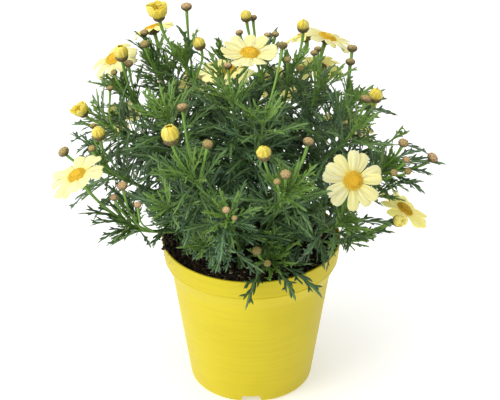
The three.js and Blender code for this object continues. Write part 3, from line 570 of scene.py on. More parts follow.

# %% [markdown]
# ## Room for the flowers
# Each flower and bud keeps a space of its own, a short cylinder along the way it faces. The pot's wall
# and the soil keep theirs. A few open places that the photo shows in the foliage are kept along the
# line of sight, and so is the view of two bright tufts. A leaf that comes into such a space is tried
# shorter, and isn't grown where that won't do. Leaves that are set one by one keep out of the pot alone.

# %% Spaces to keep clear
OPEN_ROOM = [(22, -3, 6), (15, 6, 40), (6, -9, -3)]
BUD_ROOM = [(7.5, -5, 14)]
SMALL_BUD_ROOM = [(5, -4, 5)]
SIGHT = (0, -0.857, 0.515)
LIGHT_GAPS = [((-78, -40, 126), 11), ((-69, -50, 145), 7), ((-99, -60, 157.4), 5), ((96, 0, 206), 9),
              ((109, 0, 190), 8), ((82, -30, 153.7), 6), ((78, -30, 113), 9)]
TUFTS_IN_SIGHT = [((15, -75, 157), 12), ((-82, -62, 166), 8)]
THROUGH, IN_FRONT = (-90, 90), (-4, 90)
SOIL_IN_SIGHT = 50
rooms = []


def keep_room(at, face, room):
    """Adds a flower's cylinders: radius, and where each starts and ends along the way it faces."""
    rooms.extend((np.array(at, float), unit(face), radius, low, high) for radius, low, high in room)


def is_free(points):
    """Whether a leaf's corners are out of every space that is kept clear."""
    for at, axis, radius, low, high in rooms:
        away = points - at
        height = away @ axis
        beside = (away**2).sum(axis=1) - height**2
        if ((beside < radius**2) & (height > low) & (height < high)).any():
            return False
    return True


def is_outside(points):
    """Whether a leaf's corners are out of the pot's wall and the soil, with a little room to spare."""
    x, y, z = points.T
    out = np.hypot(x, y)
    in_wall = (out > POT["collar_foot"] - 3) & (out < POT["rim"] + 0.8) & (z < POT["height"] + 0.6)
    in_soil = (out < POT["rim"]) & (z < soil_height(x, y) + 0.3)
    in_pot = (out < POT["rim"] + 0.8) & (z < POT["height"] - POT["collar"])
    return not (in_wall | in_soil | in_pot).any()


def is_low(points):
    """Whether a leaf hangs over the pot's rim, or hides the strip of bare soil behind the rim at the left."""
    x, y, z = points.T
    over_rim = (np.hypot(x, y) > POT["rim"] - 4) & (z < POT["height"] + 6)
    behind = y - (z - SOIL["edge"]) * SIGHT[1] / SIGHT[2]
    out = np.hypot(x, behind)
    hides = (out > SOIL_IN_SIGHT) & (out < POT["rim"] + 2) & (x < -12) & (behind < 12)
    return (over_rim | hides).any()


for at, face, _, _ in BLOOMS:
    keep_room(at, face, OPEN_ROOM)
for at, face, _, _ in HALF_OPEN + YELLOW_BUDS:
    keep_room(at, face, BUD_ROOM)


def small_bud_axis(key, at):
    """A small bud looks away from its shoot and a little upward."""
    away = unit(np.subtract(at, shoots[key]["curve"].point(STALK["highest"])))
    return unit(away + (0, 0, STALK["bud_lift"]))


for key, buds in SMALL_BUDS.items():
    for *at, _ in buds:
        keep_room(at, small_bud_axis(key, at), SMALL_BUD_ROOM)
for gaps, reach in ((LIGHT_GAPS, THROUGH), (TUFTS_IN_SIGHT, IN_FRONT)):
    for at, radius in gaps:
        keep_room(at, SIGHT, [(radius, *reach)])
print(len(rooms), "spaces are kept clear")

# %% Leaves on their stems
HANGING_LEAVES = [
    ("A", (-112, -70, 165)), ("A", (-97, -76, 152)), ("A", (-70, -62, 142)), ("N", (128, -25, 179)),
    ("N", (121, -40, 172)), ("Q", (104, -58, 156)), ("E", (-84, 30, 266)), ("D", (-104, 24, 236)),
    ("E", (-90, 36, 257)), ("A", (-102, -50, 186.6)), ("A", (-95, -52, 184)), ("C", (-122, 10, 196)),
    ("A", (-107, -56, 176)), ("B", (-102, -30, 169)), ("B", (-96, -15, 165)), ("a", (-74, 40, 215)),
    ("E", (-78, 40, 223)), ("K", (54, 20, 228)), ("L", (87, 20, 189)), ("L", (81, 25, 189)),
    ("M", (78, 0, 196)), ("b", (-90, 40, 190)), ("C", (-94, 30, 196)), ("b", (-87, 35, 190)),
    ("F", (-48, 40, 221)), ("a", (-52, 50, 213)), ("F", (-45, 30, 221)),
]
YOUNG_LEAVES = [
    ("V", (12, -68, 160)), ("V", (20, -66, 162)), ("V", (7, -70, 155)), ("V", (27, -66, 155)),
    ("V", (16, -72, 153)), ("V", (22, -70, 149)), ("A", (-82, -56, 175)), ("A", (-87, -58, 172)),
    ("A", (-76, -54, 171)), ("A", (-73, -56, 166)), ("A", (-84, -62, 170)),
]
GREEN, BRIGHT = 0.1, 0.95
SHORTER = (1, 0.72, 0.5)
SMALL_LEAF = 28
CORNER_STEP = 3


def grown_leaf(points, place):
    """The leaf as long as its place has room for, or nothing."""
    for share in SHORTER:
        spot = laid(points, {**place, "length": place["length"] * share, "bend": place["bend"] * share})
        fits = is_outside(spot[::CORNER_STEP])
        if not place["reaches"]:
            fits = fits and is_free(spot[::CORNER_STEP]) and (place["youth"] == 1 or not is_low(spot))
        if fits:
            return spot
    return None


pick = seeded_chance(SEEDS["leaf_pick"])
wanted = []
for leaves, youth in ((REACHING_LEAVES + HANGING_LEAVES, GREEN), (YOUNG_LEAVES, BRIGHT)):
    wanted += [(key, reaching_place(key, tip, pick(), youth)) for key, tip in leaves]
for key, shoot in shoots.items():
    places = leaf_places(shoot) + filling_places(key, shoot) + tuft_places(key, shoot)
    wanted += [(key, place) for place in places]
left_out = 0
for key, place in wanted:
    kinds = young_leaves if place["length"] < SMALL_LEAF else flat_leaves
    points, faces, traits = kinds[int(pick() * len(kinds))]
    spot = grown_leaf(points, place)
    if spot is None:
        left_out += 1
        continue
    ones = np.ones(len(points))
    traits = np.column_stack([ones * place["youth"], ones * place["tone"], traits[:, 2]])
    stem_bodies[shoots[key]["stem"]].append(body(spot, faces, LEAF_FINISH, traits))
print(len(wanted) - left_out, "leaves grown,", left_out, "left out")

# %% [markdown]
# ## Buds, cups and flower stalks
# Under each head sits a cup of small overlapping scales, each with a thin brown edge. On a closed bud
# the scales cover it all. They could be single plates, but at this size a turned body does as well when
# a pattern lifts each scale from it: for each corner the pattern finds the scale that lies on top, and
# how near its edge the corner is.


# %% Turned bodies with scales
def smooth_line(points, count):
    """A smooth line through a few points, as a chain of Catmull-Rom curves."""
    points = np.asarray(points, float)
    padded = np.concatenate([2 * points[:1] - points[1:2], points, 2 * points[-1:] - points[-2:-1]])
    place = np.linspace(0, len(points) - 1, count)
    number = np.minimum(place.astype(int), len(points) - 2)
    t = (place - number)[:, None]
    a, b, c, d = (padded[number + k] for k in range(4))
    return 0.5 * (2 * b + (c - a) * t + (2 * a - 5 * b + 4 * c - d) * t**2 + (3 * b - a - 3 * c + d) * t**3)


def scale_pattern(angle, height, rows, per_row, reach):
    """How far overlapping scales stand out, and how near an edge each place is, both from 0 to 1."""
    lift, edge, covered = np.zeros_like(angle), np.zeros_like(angle), np.zeros(angle.shape, bool)
    for row in range(rows):
        along = (height - row * (1 - reach * 0.8) / rows) / reach
        across = np.abs((angle / TAU * per_row + row % 2 / 2) % 1 - 0.5) * 2
        width = np.sqrt(np.clip(1 - np.clip(along, 0, 1) ** 2.5, 0, 1)) + 1e-6
        inside = (along <= 1) & (across <= width) & ~covered
        near = np.clip(np.minimum(1 - across / width, (1 - along) * 1.2) / 0.3, 0, 1)
        lift[inside] = ((1 - row / rows) * 0.6 + near * 0.4)[inside]
        edge[inside] = (1 - near)[inside]
        covered |= inside
    return lift, edge


SCALE_LIFT, NARROWEST = 0.16, 0.05


def turned(profile, sides, rows, scales=None):
    """A closed body turned round Z from a profile that starts and ends on the axis, with scales or bare."""
    line = smooth_line(profile, rows)
    angle, height = np.meshgrid(np.arange(sides) / sides * TAU, np.linspace(0, 1, rows)[1:-1])
    lift, edge = scale_pattern(angle, height, *scales) if scales else np.zeros((2, *angle.shape))
    radius = np.maximum(line[1:-1, :1], NARROWEST) * (1 + SCALE_LIFT * lift)
    level = np.broadcast_to(line[1:-1, 1:], angle.shape)
    ring = np.stack([radius * np.cos(angle), radius * np.sin(angle), level], -1)
    points = np.concatenate([ring.reshape(-1, 3), [[0, 0, line[0, 1]], [0, 0, line[-1, 1]]]])
    marks = np.zeros((len(points), 3))
    marks[:-2, 0], marks[-1, 0], marks[:-2, 2] = height.ravel(), 1, edge.ravel()
    return points, capped(rows - 2, sides), 0, marks


CUP = [(0, -3.9), (2.4, -3.5), (4.4, -1.9), (5.2, -0.1), (4.6, 0.5), (0, 0.3)]
BUD_CUP = [(0, -3.2), (1.8, -2.9), (3.3, -1.8), (4.1, 0.1), (4.2, 1.3), (3.8, 1.7), (0, 1.4)]
SMALL_BUD = [(0, -3.2), (1.5, -3.0), (3.1, -1.5), (3.5, 0.2), (2.9, 1.7), (1.5, 2.4), (0, 2.2)]
SMALL_BUD_WIDTH = 7
CUP_SCALES, BUD_CUP_SCALES, BUD_SCALES = (3, 11, 0.62), (3, 8, 0.6), (3, 6, 0.62)
INSIDE_SOLID = 0.96


def add_stalk(key, at, axis, profile, scales, end, tone, size=1.0, thick=1.0, top=0.8):
    """A flower stalk from its shoot to a head, and the scales round it; top is how pale the highest get."""
    shoot = shoots[key]
    share = STALK["highest"] - STALK["spacing"] * (shoot["stalks"] % STALK["places"])
    shoot["stalks"] += 1
    start, end = shoot["curve"].point(share), np.asarray(at, float) + axis * end * size
    rise = unit(shoot["curve"].tangent(share) + unit(end - start))
    curve = Curve(start, rise, end, axis, STEM["pull"])
    radii = np.multiply(STALK["taper"], STALK["radius"] * thick)
    points, faces, _, marks = turned(profile, 48, 26, scales)
    traits = np.column_stack([marks[:, 0] * top, np.full(len(marks), tone), marks[:, 2]])
    stem_bodies[shoot["stem"]] += [
        tube(curve, radii, sides=8, steps=14, ribs=4, traits=(0.95, tone, 0)),
        body(stood(points * INSIDE_SOLID * size, at, axis), faces, SCALE_FINISH, traits),
    ]


chance = seeded_chance(SEEDS["head"])
for at, face, key, _ in BLOOMS:
    add_stalk(key, at, unit(face), CUP, CUP_SCALES, -3, chance() * 0.3, thick=1.35)
for at, face, key, size in HALF_OPEN:
    add_stalk(key, at, unit(face), BUD_CUP, BUD_CUP_SCALES, -2.6, chance() * 0.3, size, 1.15)
for at, face, key, size in YELLOW_BUDS:
    add_stalk(key, at, unit(face), BUD_CUP, BUD_CUP_SCALES, -2.4, chance() * 0.4, size)
for key, buds in SMALL_BUDS.items():
    for *at, width in buds:
        size = width / SMALL_BUD_WIDTH
        thick = 0.7 + 0.3 * size
        add_stalk(key, at, small_bud_axis(key, at), SMALL_BUD, BUD_SCALES, -2.4, chance(), size, thick, 1)
print("stalks:", sum(shoot["stalks"] for shoot in shoots.values()))

# %% [markdown]
# ## Colours and nodes
# Hex colours are what an eye reads off a plant in daylight, but a shader adds light in linear values.
# One function turns the first into the second. Another adds a node with its settings and its links.
# The finishes are made as a painter would: a ground colour, coats laid over it where a mask says so, and
# a grain. Pattern scales come from real sizes: a noise texture with a scale of 1000 over the size in
# millimetres has about one bump in that size, because the scene is in metres. The grain of a leaf or a
# petal is finer than the picture can show, so it is drawn as coarse as it needs to show.


# %% Colour and node helpers
def linear(colour):
    """An sRGB hex colour as linear red, green, blue and full alpha."""
    values = [int(colour[i : i + 2], 16) / 255 for i in (1, 3, 5)]
    return (*[v / 12.92 if v <= 0.04045 else ((v + 0.055) / 1.055) ** 2.4 for v in values], 1.0)


def set_inputs(tree, node, inputs):
    """Sets a node's sockets to values or hex colours, or links them to other sockets."""
    for key, value in inputs.items():
        if isinstance(value, bpy.types.NodeSocket):
            tree.links.new(value, node.inputs[key])
        else:
            node.inputs[key].default_value = linear(value) if isinstance(value, str) else value


def add_node(tree, kind, inputs=None, **settings):
    """Adds a node with its settings and its inputs."""
    node = tree.nodes.new(kind)
    for name, value in settings.items():
        setattr(node, name, value)
    set_inputs(tree, node, inputs or {})
    return node


def new_material(name, **surface):
    """A material with its surface values, and the sockets of its place and its traits."""
    material = bpy.data.materials.new(name)
    material.use_nodes = True
    tree = material.node_tree
    shader = tree.nodes["Principled BSDF"]
    set_inputs(tree, shader, {key.replace("_", " "): value for key, value in surface.items()})
    place = add_node(tree, "ShaderNodeTexCoord").outputs["Object"]
    traits = add_node(tree, "ShaderNodeVertexColor", layer_name="traits").outputs["Color"]
    return material, tree, shader, place, add_node(tree, "ShaderNodeSeparateColor", {"Color": traits}).outputs


def painted(tree, ground, *coats):
    """A ground colour and the coats over it, each a mask or a share and a colour."""
    for share, colour in coats:
        mix = add_node(tree, "ShaderNodeMix", {0: share, 6: ground, 7: colour}, data_type="RGBA")
        ground = mix.outputs[2]
    return ground


def mottled(tree, place, size, low=0.0, high=1.0, detail=4.0):
    """A mask of soft patches of a real size in millimetres, spread between two values."""
    scale = 1000 / size
    patches = add_node(tree, "ShaderNodeTexNoise", {"Vector": place, "Scale": scale, "Detail": detail})
    spread = {"Value": patches.outputs[0], 1: 0.3, 2: 0.7, 3: low, 4: high}
    return add_node(tree, "ShaderNodeMapRange", spread).outputs[0]


def finished(tree, shader, place, colour, grain, depth, detail=4.0):
    """Gives a surface its colour and a grain with a size and a depth in millimetres."""
    height = mottled(tree, place, grain, detail=detail)
    relief = add_node(tree, "ShaderNodeBump", {"Height": height, "Distance": depth * MM})
    set_inputs(tree, shader, {"Base Color": colour, "Normal": relief.outputs[0]})


print("mid grey is", round(linear("#808080")[0], 3), "in linear light")

# %% [markdown]
# ## Leaf, stalk and scale finishes
# A marguerite's leaf has a thin wax that greys its green and dulls its shine. Young leaves haven't made
# it yet and are a clear yellow green. The stalks are fresh green with ribs, and turn darker and firmer
# down the plant. The scales are olive with papery brown edges, and on closed buds tan at the top.

# %% Foliage finishes
waxy_leaf, tree, shader, place, (youth, tone, rib) = new_material("waxy_leaf", Roughness=0.44, IOR=1.45)
leaf = painted(tree, "#2b4a24", (tone, "#5a7a68"), (mottled(tree, place, 9), "#3a5a28"), (youth, "#6b8f34"))
pale_rib = painted(tree, leaf, (0.35, "#88a866"))
finished(tree, shader, place, painted(tree, leaf, (rib, pale_rib)), grain=1.2, depth=0.12)

fresh_stalk, tree, shader, place, (youth, _, _) = new_material("fresh_stalk", Roughness=0.45, IOR=1.45)
stalk = painted(tree, "#4a6236", (youth, "#83ad45"), (mottled(tree, place, 6, 0, 0.5), "#5f8c3a"))
finished(tree, shader, place, stalk, grain=0.8, depth=0.08)

papery_scale, tree, shader, place, (height, tone, edge) = new_material(
    "papery_scale", Roughness=0.6, IOR=1.45)
above = add_node(tree, "ShaderNodeMapRange", {"Value": height, 1: 0.42, 2: 0.72}).outputs[0]
crown = painted(tree, "#a59a4c", (tone, "#deb98b"))
border = painted(tree, "#46331c", (above, "#74502f"))
dry = add_node(tree, "ShaderNodeMath", {0: edge, 1: 1.1}, operation="MULTIPLY", use_clamp=True).outputs[0]
finished(tree, shader, place, painted(tree, "#655c33", (above, crown), (dry, border)), grain=0.6, depth=0.1)

for name, bodies in stem_bodies.items():
    add_piece("leafy_" + name, bodies, [waxy_leaf, fresh_stalk, papery_scale], name)
print("stem pieces:", triangle_counts)

# %% [markdown]
# ## Petals
# The petals of a daisy are ray florets: long, blunt, with two shallow grooves and small notches at the
# end. Each is a closed sheet over a bent midline, thick enough to hold its shape in print. Open petals
# arch out and droop a little at their sides. In a half-open bloom and a bud they stand up and cup inward,
# one over the next.


# %% Petal sheets
def sheet(upper, lower):
    """A closed sheet between two grids of corners that share their border."""
    rows, columns = upper.shape[:2]
    size = rows * columns
    index = np.arange(size).reshape(rows, columns)
    border = np.concatenate([index[0, :-1], index[:-1, -1], index[-1, :0:-1], index[:0:-1, 0]])
    after = np.roll(border, -1)
    walls = [np.column_stack([border, after, after + size]),
             np.column_stack([border, after + size, border + size])]
    grid = grid_faces(rows, columns)
    points = np.concatenate([upper.reshape(-1, 3), lower.reshape(-1, 3)])
    return points, np.concatenate([grid[:, ::-1], grid + size, *walls])


PETAL_ROWS, PETAL_COLUMNS, PETAL_THICKNESS = 13, 9, 0.62
MIDLINE_STEPS, GROOVE_DEPTH = 40, 0.16


def petal(line, widths, angle, cup, notch, twist, tone):
    """One petal round +Z: a line of radius and height, half widths along it, and how it cups."""
    share = np.linspace(0, 1, PETAL_ROWS)[:, None]
    across = np.linspace(-1, 1, PETAL_COLUMNS)[None, :]
    middle = smooth_line(line, MIDLINE_STEPS + 1)
    slope = unit(np.gradient(middle, axis=0))
    teeth = np.exp(-(((np.abs(across) - 0.36) / 0.14) ** 2))
    blunt = 0.12 * np.abs(across) ** 3.4 + notch * teeth
    place = share * (1 - blunt * share**5) * MIDLINE_STEPS
    columns = (middle[:, 0], middle[:, 1], -slope[:, 1], slope[:, 0])
    radius, height, normal_r, normal_z = (np.interp(place, np.arange(MIDLINE_STEPS + 1), c) for c in columns)
    half = np.interp(share, np.linspace(0, 1, len(widths)), widths)
    groove = GROOVE_DEPTH * np.cos(TAU * across) * np.sin(math.pi * np.clip(share * 1.1, 0, 1))
    lift = cup * half * across**2 + groove * np.minimum(half, 2) + twist * across * share**2

    def surface(offset):
        out = radius + normal_r * (lift + offset)
        up = height + normal_z * (lift + offset)
        return spun(np.stack([out, half * across, up], -1), angle)

    taper = PETAL_THICKNESS / 2 * (1 - 0.5 * np.abs(across))
    points, faces = sheet(surface(taper), surface(-taper))
    marks = np.stack(np.broadcast_arrays(share, tone, np.clip(-groove * 6, 0, 1)), -1).reshape(-1, 3)
    return points, faces, 0, np.concatenate([marks, marks])


def ring_of_petals(count, line, widths, cup, seed, overlap=0.0, notch=0.0, sway=1.4, start=0.0, size=1.0,
                   stray=0.16, age=(0, 1)):
    """Petals round a flower, each with its own length, sway, place and age, every second one on top."""
    draw = seeded_chance(seed)
    petals = []
    for number in range(count):
        stretch, lean, turn = 0.92 + 0.11 * draw(), (draw() - 0.5) * sway, (draw() - 0.5) * stray
        tone = age[0] + (age[1] - age[0]) * draw()
        spot = np.array(line, float)
        spot[1:, 0] = spot[0, 0] + (spot[1:, 0] - spot[0, 0]) * stretch
        spot[:, 1] += np.linspace(0, 1, len(spot)) ** 1.5 * lean * 2 + (number % 2) * overlap
        broad = np.multiply(widths, 0.9 + 0.16 * draw())
        twist = (draw() - 0.5) * sway
        points, *rest = petal(spot, broad, start + number / count * TAU + turn, cup, notch, twist, tone)
        petals.append((points * size, *rest))
    return petals


def add_head(name, kind, parts, at, face, finish, node):
    """Sets parts that are made round +Z on their stalk, and joins them in one piece."""
    bodies = [body(stood(points, at, unit(face)), *rest) for points, *rest in parts]
    add_piece(f"{name}_{kind}", bodies, [finish], node)


sample = petal([(4, 0), (12, 2), (20, 0)], (1, 4, 3), angle=0, cup=0, notch=0, twist=0, tone=0)
print("a petal has", len(sample[1]), "triangles")

# %% [markdown]
# ## Petal finishes
# A petal is a thin, matt, watery skin. Light goes in, wanders and comes out near by, warmer than it went
# in, which keeps its shaded side bright. An open petal's finish also has a faint emission, a painted glow
# that brightens it where it lies in shade. Its foot and its grooves are a deeper yellow, and it pales as it
# opens and ages. A petal that is still folded is a full yellow, a little greener at its foot.

# %% Petal finishes
def petal_finish(name, fresh, aged, glow):
    """The soft skin of an open petal; glow sets its emission, a painted glow that brightens it where it lies
    in shade.
    """
    material, tree, shader, place, (outward, age, groove) = new_material(
        name, Roughness=0.55, IOR=1.4, Subsurface_Weight=0.5, Subsurface_Radius=(1.0, 0.9, 0.35),
        Subsurface_Scale=2 * MM, Emission_Color=aged, Emission_Strength=glow)
    past_foot = add_node(tree, "ShaderNodeMapRange", {"Value": outward, 1: 0.0, 2: 0.45}).outputs[0]
    pale = painted(tree, fresh, (age, aged))
    veins = mottled(tree, place, 1.6, 0, 0.25)
    skin = painted(tree, "#ead65e", (past_foot, pale), (groove, "#e4d682"), (veins, "#eadd84"))
    finished(tree, shader, place, skin, grain=0.7, depth=0.06)
    return material


# Painted light: both open-petal finishes emit a faint glow that brightens petals in shade. The second glows
# more, for blooms that lie in shade.
lemon_petal = petal_finish("lemon_petal", "#f1e06a", "#f2edb8", 0.06)
fresh_petal_with_painted_glow = petal_finish("fresh_lemon_petal_painted_glow", "#f6e56e", "#f9f3ae", 0.2)

young_petal, tree, shader, place, (outward, age, groove) = new_material(
    "young_yellow_petal", Roughness=0.5, IOR=1.4, Subsurface_Weight=0.35,
    Subsurface_Radius=(1.0, 0.85, 0.2), Subsurface_Scale=1.2 * MM)
past_foot = add_node(tree, "ShaderNodeMapRange", {"Value": outward, 1: 0.1, 2: 0.5}).outputs[0]
deep = painted(tree, "#f1d640", (age, "#f8e97c"), (groove, "#d9b43c"))
finished(tree, shader, place, painted(tree, "#c9c056", (past_foot, deep)), grain=0.7, depth=0.06)
print("petal finishes:", [finish.name for finish in (lemon_petal, fresh_petal_with_painted_glow, young_petal)])

# %% Open blooms
FORMS = {
    "flat": dict(line=[(4.4, 0.35), (9, 1.2), (15, 1.4), (21.2, 0.0)], count=12, cup=-0.17, sway=2.3,
                 stray=0.3, notch=0.06, widths=(1.3, 2.3, 3.2, 3.9, 4.25, 4.3, 3.8)),
    "raised": dict(line=[(4.4, 0.35), (9, 1.1), (15, 1.9), (20.8, 3.4)], count=12, cup=-0.12, sway=2.0,
                   stray=0.26, notch=0.06, widths=(1.3, 2.3, 3.2, 4.0, 4.4, 4.4, 3.9)),
    "small": dict(line=[(4.4, 0.35), (7.5, 1.0), (11.5, 0.8), (16.2, -0.6)], count=11, cup=-0.2, sway=2.2,
                  stray=0.3, notch=0.06, widths=(1.3, 2.0, 2.7, 3.2, 3.5, 3.4, 2.9)),
    "fading": dict(line=[(4.4, 0.3), (8.5, 0.8), (13.5, 0.2), (18.6, -4.2)], count=11, cup=-0.22, sway=3.0,
                   stray=0.34, notch=0.08, widths=(1.3, 2.1, 3.0, 3.6, 3.9, 3.8, 3.2)),
}
OVERLAP = 0.4
# The blooms with these numbers are fresher and yellower, and they lie in shade, so their petals take the
# finish with the stronger painted glow.
PALE, FRESH_WITH_PAINTED_GLOW = (0.62, 1.0), {2: (0.35, 0.6), 4: (0.6, 1.0), 6: (0.4, 0.65), 7: (0.4, 0.8), 9: (0.05, 0.4)}
for number, (at, face, _, form) in enumerate(BLOOMS):
    seed, age = SEEDS["bloom"] + BLOOM_STEP * number, FRESH_WITH_PAINTED_GLOW.get(number, PALE)
    petals = ring_of_petals(seed=seed, overlap=OVERLAP, age=age, **FORMS[form])
    name, skin = f"bloom_{number + 1:02d}", fresh_petal_with_painted_glow if number in FRESH_WITH_PAINTED_GLOW else lemon_petal
    add_head(name, "petals", petals, at, face, skin, name + "_rays")
print("fresh blooms:", [number + 1 for number in FRESH_WITH_PAINTED_GLOW])

# %% Half-open blooms
OUTER = dict(count=8, line=[(2.8, 0.2), (5.6, 2.2), (7.0, 5.6), (7.6, 9.9)], widths=(1.4, 2.5, 3.3, 3.5, 2.9),
             cup=0.28, notch=0.08, sway=2.0)
INNER = dict(count=6, line=[(2.4, 0.4), (4.4, 2.2), (5.2, 5.4), (4.6, 9.2)], widths=(1.2, 2.1, 2.8, 2.8, 2.2),
             cup=0.3, notch=0.08, sway=1.6, start=0.4)
for number, (at, face, _, size) in enumerate(HALF_OPEN):
    step = BLOOM_STEP * number
    petals = ring_of_petals(seed=SEEDS["outer"] + step, size=size, **OUTER)
    petals += ring_of_petals(seed=SEEDS["inner"] + step, size=size, **INNER)
    name = f"half_open_{number + 1:02d}"
    add_head(name, "petals", petals, at, face, young_petal, name + "_rays")
print("petals in a half-open bloom:", OUTER["count"] + INNER["count"])

# %% Yellow buds
CLOSED = dict(line=[(2.7, 0.3), (4.0, 2.0), (3.8, 4.0), (2.3, 5.9), (0.5, 7.0)],
              widths=(1.3, 2.1, 2.3, 1.6, 0.5))
LOOSE = dict(line=[(2.9, 0.3), (4.2, 2.2), (4.2, 4.6), (3.2, 6.8), (1.7, 8.5)],
             widths=(1.3, 2.1, 2.3, 1.9, 1.0))
LOOSE_BUDS = (0, 4)
BUD_HEART = [(0, 0.1), (2.8, 0.6), (3.6, 2.3), (3.0, 4.3), (1.3, 5.9), (0, 6.3)]
for number, (at, face, _, size) in enumerate(YELLOW_BUDS):
    form = LOOSE if number in LOOSE_BUDS else CLOSED
    petals = ring_of_petals(9, cup=0.12, seed=SEEDS["bud"] + BLOOM_STEP * number, sway=0.5, size=size, **form)
    heart, *rest = turned(BUD_HEART, 24, 14)
    taller = form["line"][-1][1] / CLOSED["line"][-1][1]
    petals.append((heart * (1, 1, taller) * size, *rest))
    name = f"yellow_bud_{number + 1:02d}"
    add_head(name, "petals", petals, at, face, young_petal, name)
print("petal pieces:", sum("petals" in name for name in triangle_counts))

# %% [markdown]
# ## Discs
# The golden middle of a daisy is a dome of a hundred and more tiny flowers, set in the double spirals of
# the golden angle. Those at the rim open first, as little cups, and those in the middle are still round
# buds. A bumpy texture would blur at its edge, so each floret is a body of its own on a low dome. Their
# finish is matt and golden, brighter at the rim, where open florets are dusted with pollen.


# %% Disc florets
FLORETS, FLORET_SIDES, OPEN_FROM = 150, 5, 0.55
DISC_RADIUS, DISC_SEAT = 6.5, 1.25
DOME = [(0, -0.6), (5.4, -0.5), (6.5, 0.1), (5.4, 1.2), (2.6, 2.0), (0, 1.7)]
OPEN_FLORET, CLOSED_FLORET = [(0.7, -0.6), (0.62, 0.9), (0.95, 1.3)], [(0.7, -0.6), (0.8, 0.7), (0.5, 1.15)]
OPEN_TOP, CLOSED_TOP, FLORET_FOOT = 0.8, 1.3, [(2, 1, 0), (2, 0, 4), (2, 4, 3)]


def rings_through(profile, sides):
    """A ring of corners round +Z for each radius and height of a profile."""
    angle = np.arange(sides) / sides * TAU
    return [np.column_stack([r * np.cos(angle), r * np.sin(angle), np.full(sides, h)]) for r, h in profile]


def floret(is_open, size):
    """One tiny floret that points up."""
    profile, top = (OPEN_FLORET, OPEN_TOP) if is_open else (CLOSED_FLORET, CLOSED_TOP)
    points = np.concatenate([*rings_through(profile, FLORET_SIDES), [[0, 0, top]]])
    top_corner = len(profile) * FLORET_SIDES
    tip = fan(np.arange(top_corner - FLORET_SIDES, top_corner), top_corner)
    return points * size, np.concatenate([grid_faces(len(profile), FLORET_SIDES, True), tip, FLORET_FOOT])


def disc_parts(seed):
    """The dome and its florets, open at the rim and closed in the middle."""
    draw = seeded_chance(seed)
    points, faces, finish, _ = turned(DOME, 28, 12)
    parts = [(points + (0, 0, DISC_SEAT), faces, finish, (0.4, 0.5, 1))]
    for number in range(FLORETS):
        share = math.sqrt((number + 0.5) / FLORETS)
        height = DISC_SEAT + 1.75 + 0.5 * share - 2.2 * share**4 + 0.25 * (draw() - 0.5)
        points, faces = floret(share > OPEN_FROM, 0.52 - 0.08 * share + 0.05 * draw())
        lean, turn = 0.9 * share**2, number * GOLDEN_ANGLE
        out = np.array([math.cos(turn), math.sin(turn), 0])
        heading = out * math.sin(lean) + UPWARD * math.cos(lean)
        spot = stood(points, out * DISC_RADIUS * share + UPWARD * height, heading)
        parts.append((spot, faces, finish, (share, draw(), 0)))
    return parts


# Painted light: the florets' faint emission is a glow that keeps a disc in shade golden.
golden_floret, tree, shader, place, (outward, tone, dome) = new_material(
    "golden_floret", Roughness=0.65, IOR=1.4, Subsurface_Weight=0.05, Subsurface_Radius=(1.0, 0.5, 0.1),
    Subsurface_Scale=1.0 * MM, Emission_Color="#e2b030", Emission_Strength=0.06)
middle = painted(tree, "#e8bf30", (tone, "#f2cf48"))
rim = painted(tree, "#f6d030", (tone, "#fbdf50"))
gold = painted(tree, middle, (outward, rim), (dome, "#dcb224"))
finished(tree, shader, place, gold, grain=0.4, depth=0.05)
for number, (at, face, _, _) in enumerate(BLOOMS):
    name, parts = f"bloom_{number + 1:02d}", disc_parts(SEEDS["disc"] + BLOOM_STEP * number)
    add_head(name, "florets", parts, at, face, golden_floret, name + "_disc")
print("florets on each disc:", FLORETS)

# %% [markdown]
# ## The pot
# A nursery pot is moulded in one shot from thin polypropylene: a collar to grip it by, a step that lets
# pots nest, a slight taper to slide off the mould, and notches at the foot to drain. The shape is turned
# with small rounds at its corners, and the notches are cut with a boolean, as the mould's own inserts do.
# Each cutter reaches clear of what it cuts.


# %% Pot
CORNER_SHARE, CORNER_STEPS = 0.45, 4
NOTCHES, CLEAR = 3, 10
NOTCH = dict(foot=7.5, head=6.4, top=6, depth=9)
HOLE = dict(radius=2.2, inset=4.5, reach=5, sides=24)


def rounded(profile, radius):
    """A profile with each inner corner replaced by a small round."""
    profile = np.asarray(profile, float)
    line = [profile[0]]
    for before, corner, after in zip(profile, profile[1:], profile[2:]):
        back, on = before - corner, after - corner
        reach = min(radius, np.linalg.norm(back) * CORNER_SHARE, np.linalg.norm(on) * CORNER_SHARE)
        a, b = corner + unit(back) * reach, corner + unit(on) * reach
        share = np.linspace(0, 1, CORNER_STEPS + 1)
        line += [(1 - t) ** 2 * a + 2 * (1 - t) * t * corner + t**2 * b for t in share]
    return np.array([*line, profile[-1]])


def lathe(profile, sides):
    """A closed body turned round Z exactly through its profile."""
    (_, low), *inner, (_, high) = profile
    points = np.concatenate([*rings_through(inner, sides), [[0, 0, low], [0, 0, high]]])
    return points, capped(len(inner), sides)


def plain_object(name, points, faces):
    """A bare mesh object from corners in millimetres."""
    mesh = bpy.data.meshes.new(name)
    mesh.from_pydata((np.asarray(points) * MM).tolist(), [], np.asarray(faces).tolist())
    made = bpy.data.objects.new(name, mesh)
    bpy.context.scene.collection.objects.link(made)
    return made


def cut(target, cutters):
    """Cuts tools from an object and removes them."""
    for cutter in cutters:
        knife = target.modifiers.new("cut", "BOOLEAN")
        knife.operation, knife.solver, knife.object = "DIFFERENCE", "EXACT", cutter
    shape = bpy.data.meshes.new_from_object(target.evaluated_get(bpy.context.evaluated_depsgraph_get()))
    target.modifiers.clear()
    target.data = shape
    for cutter in cutters:
        bpy.data.objects.remove(cutter)


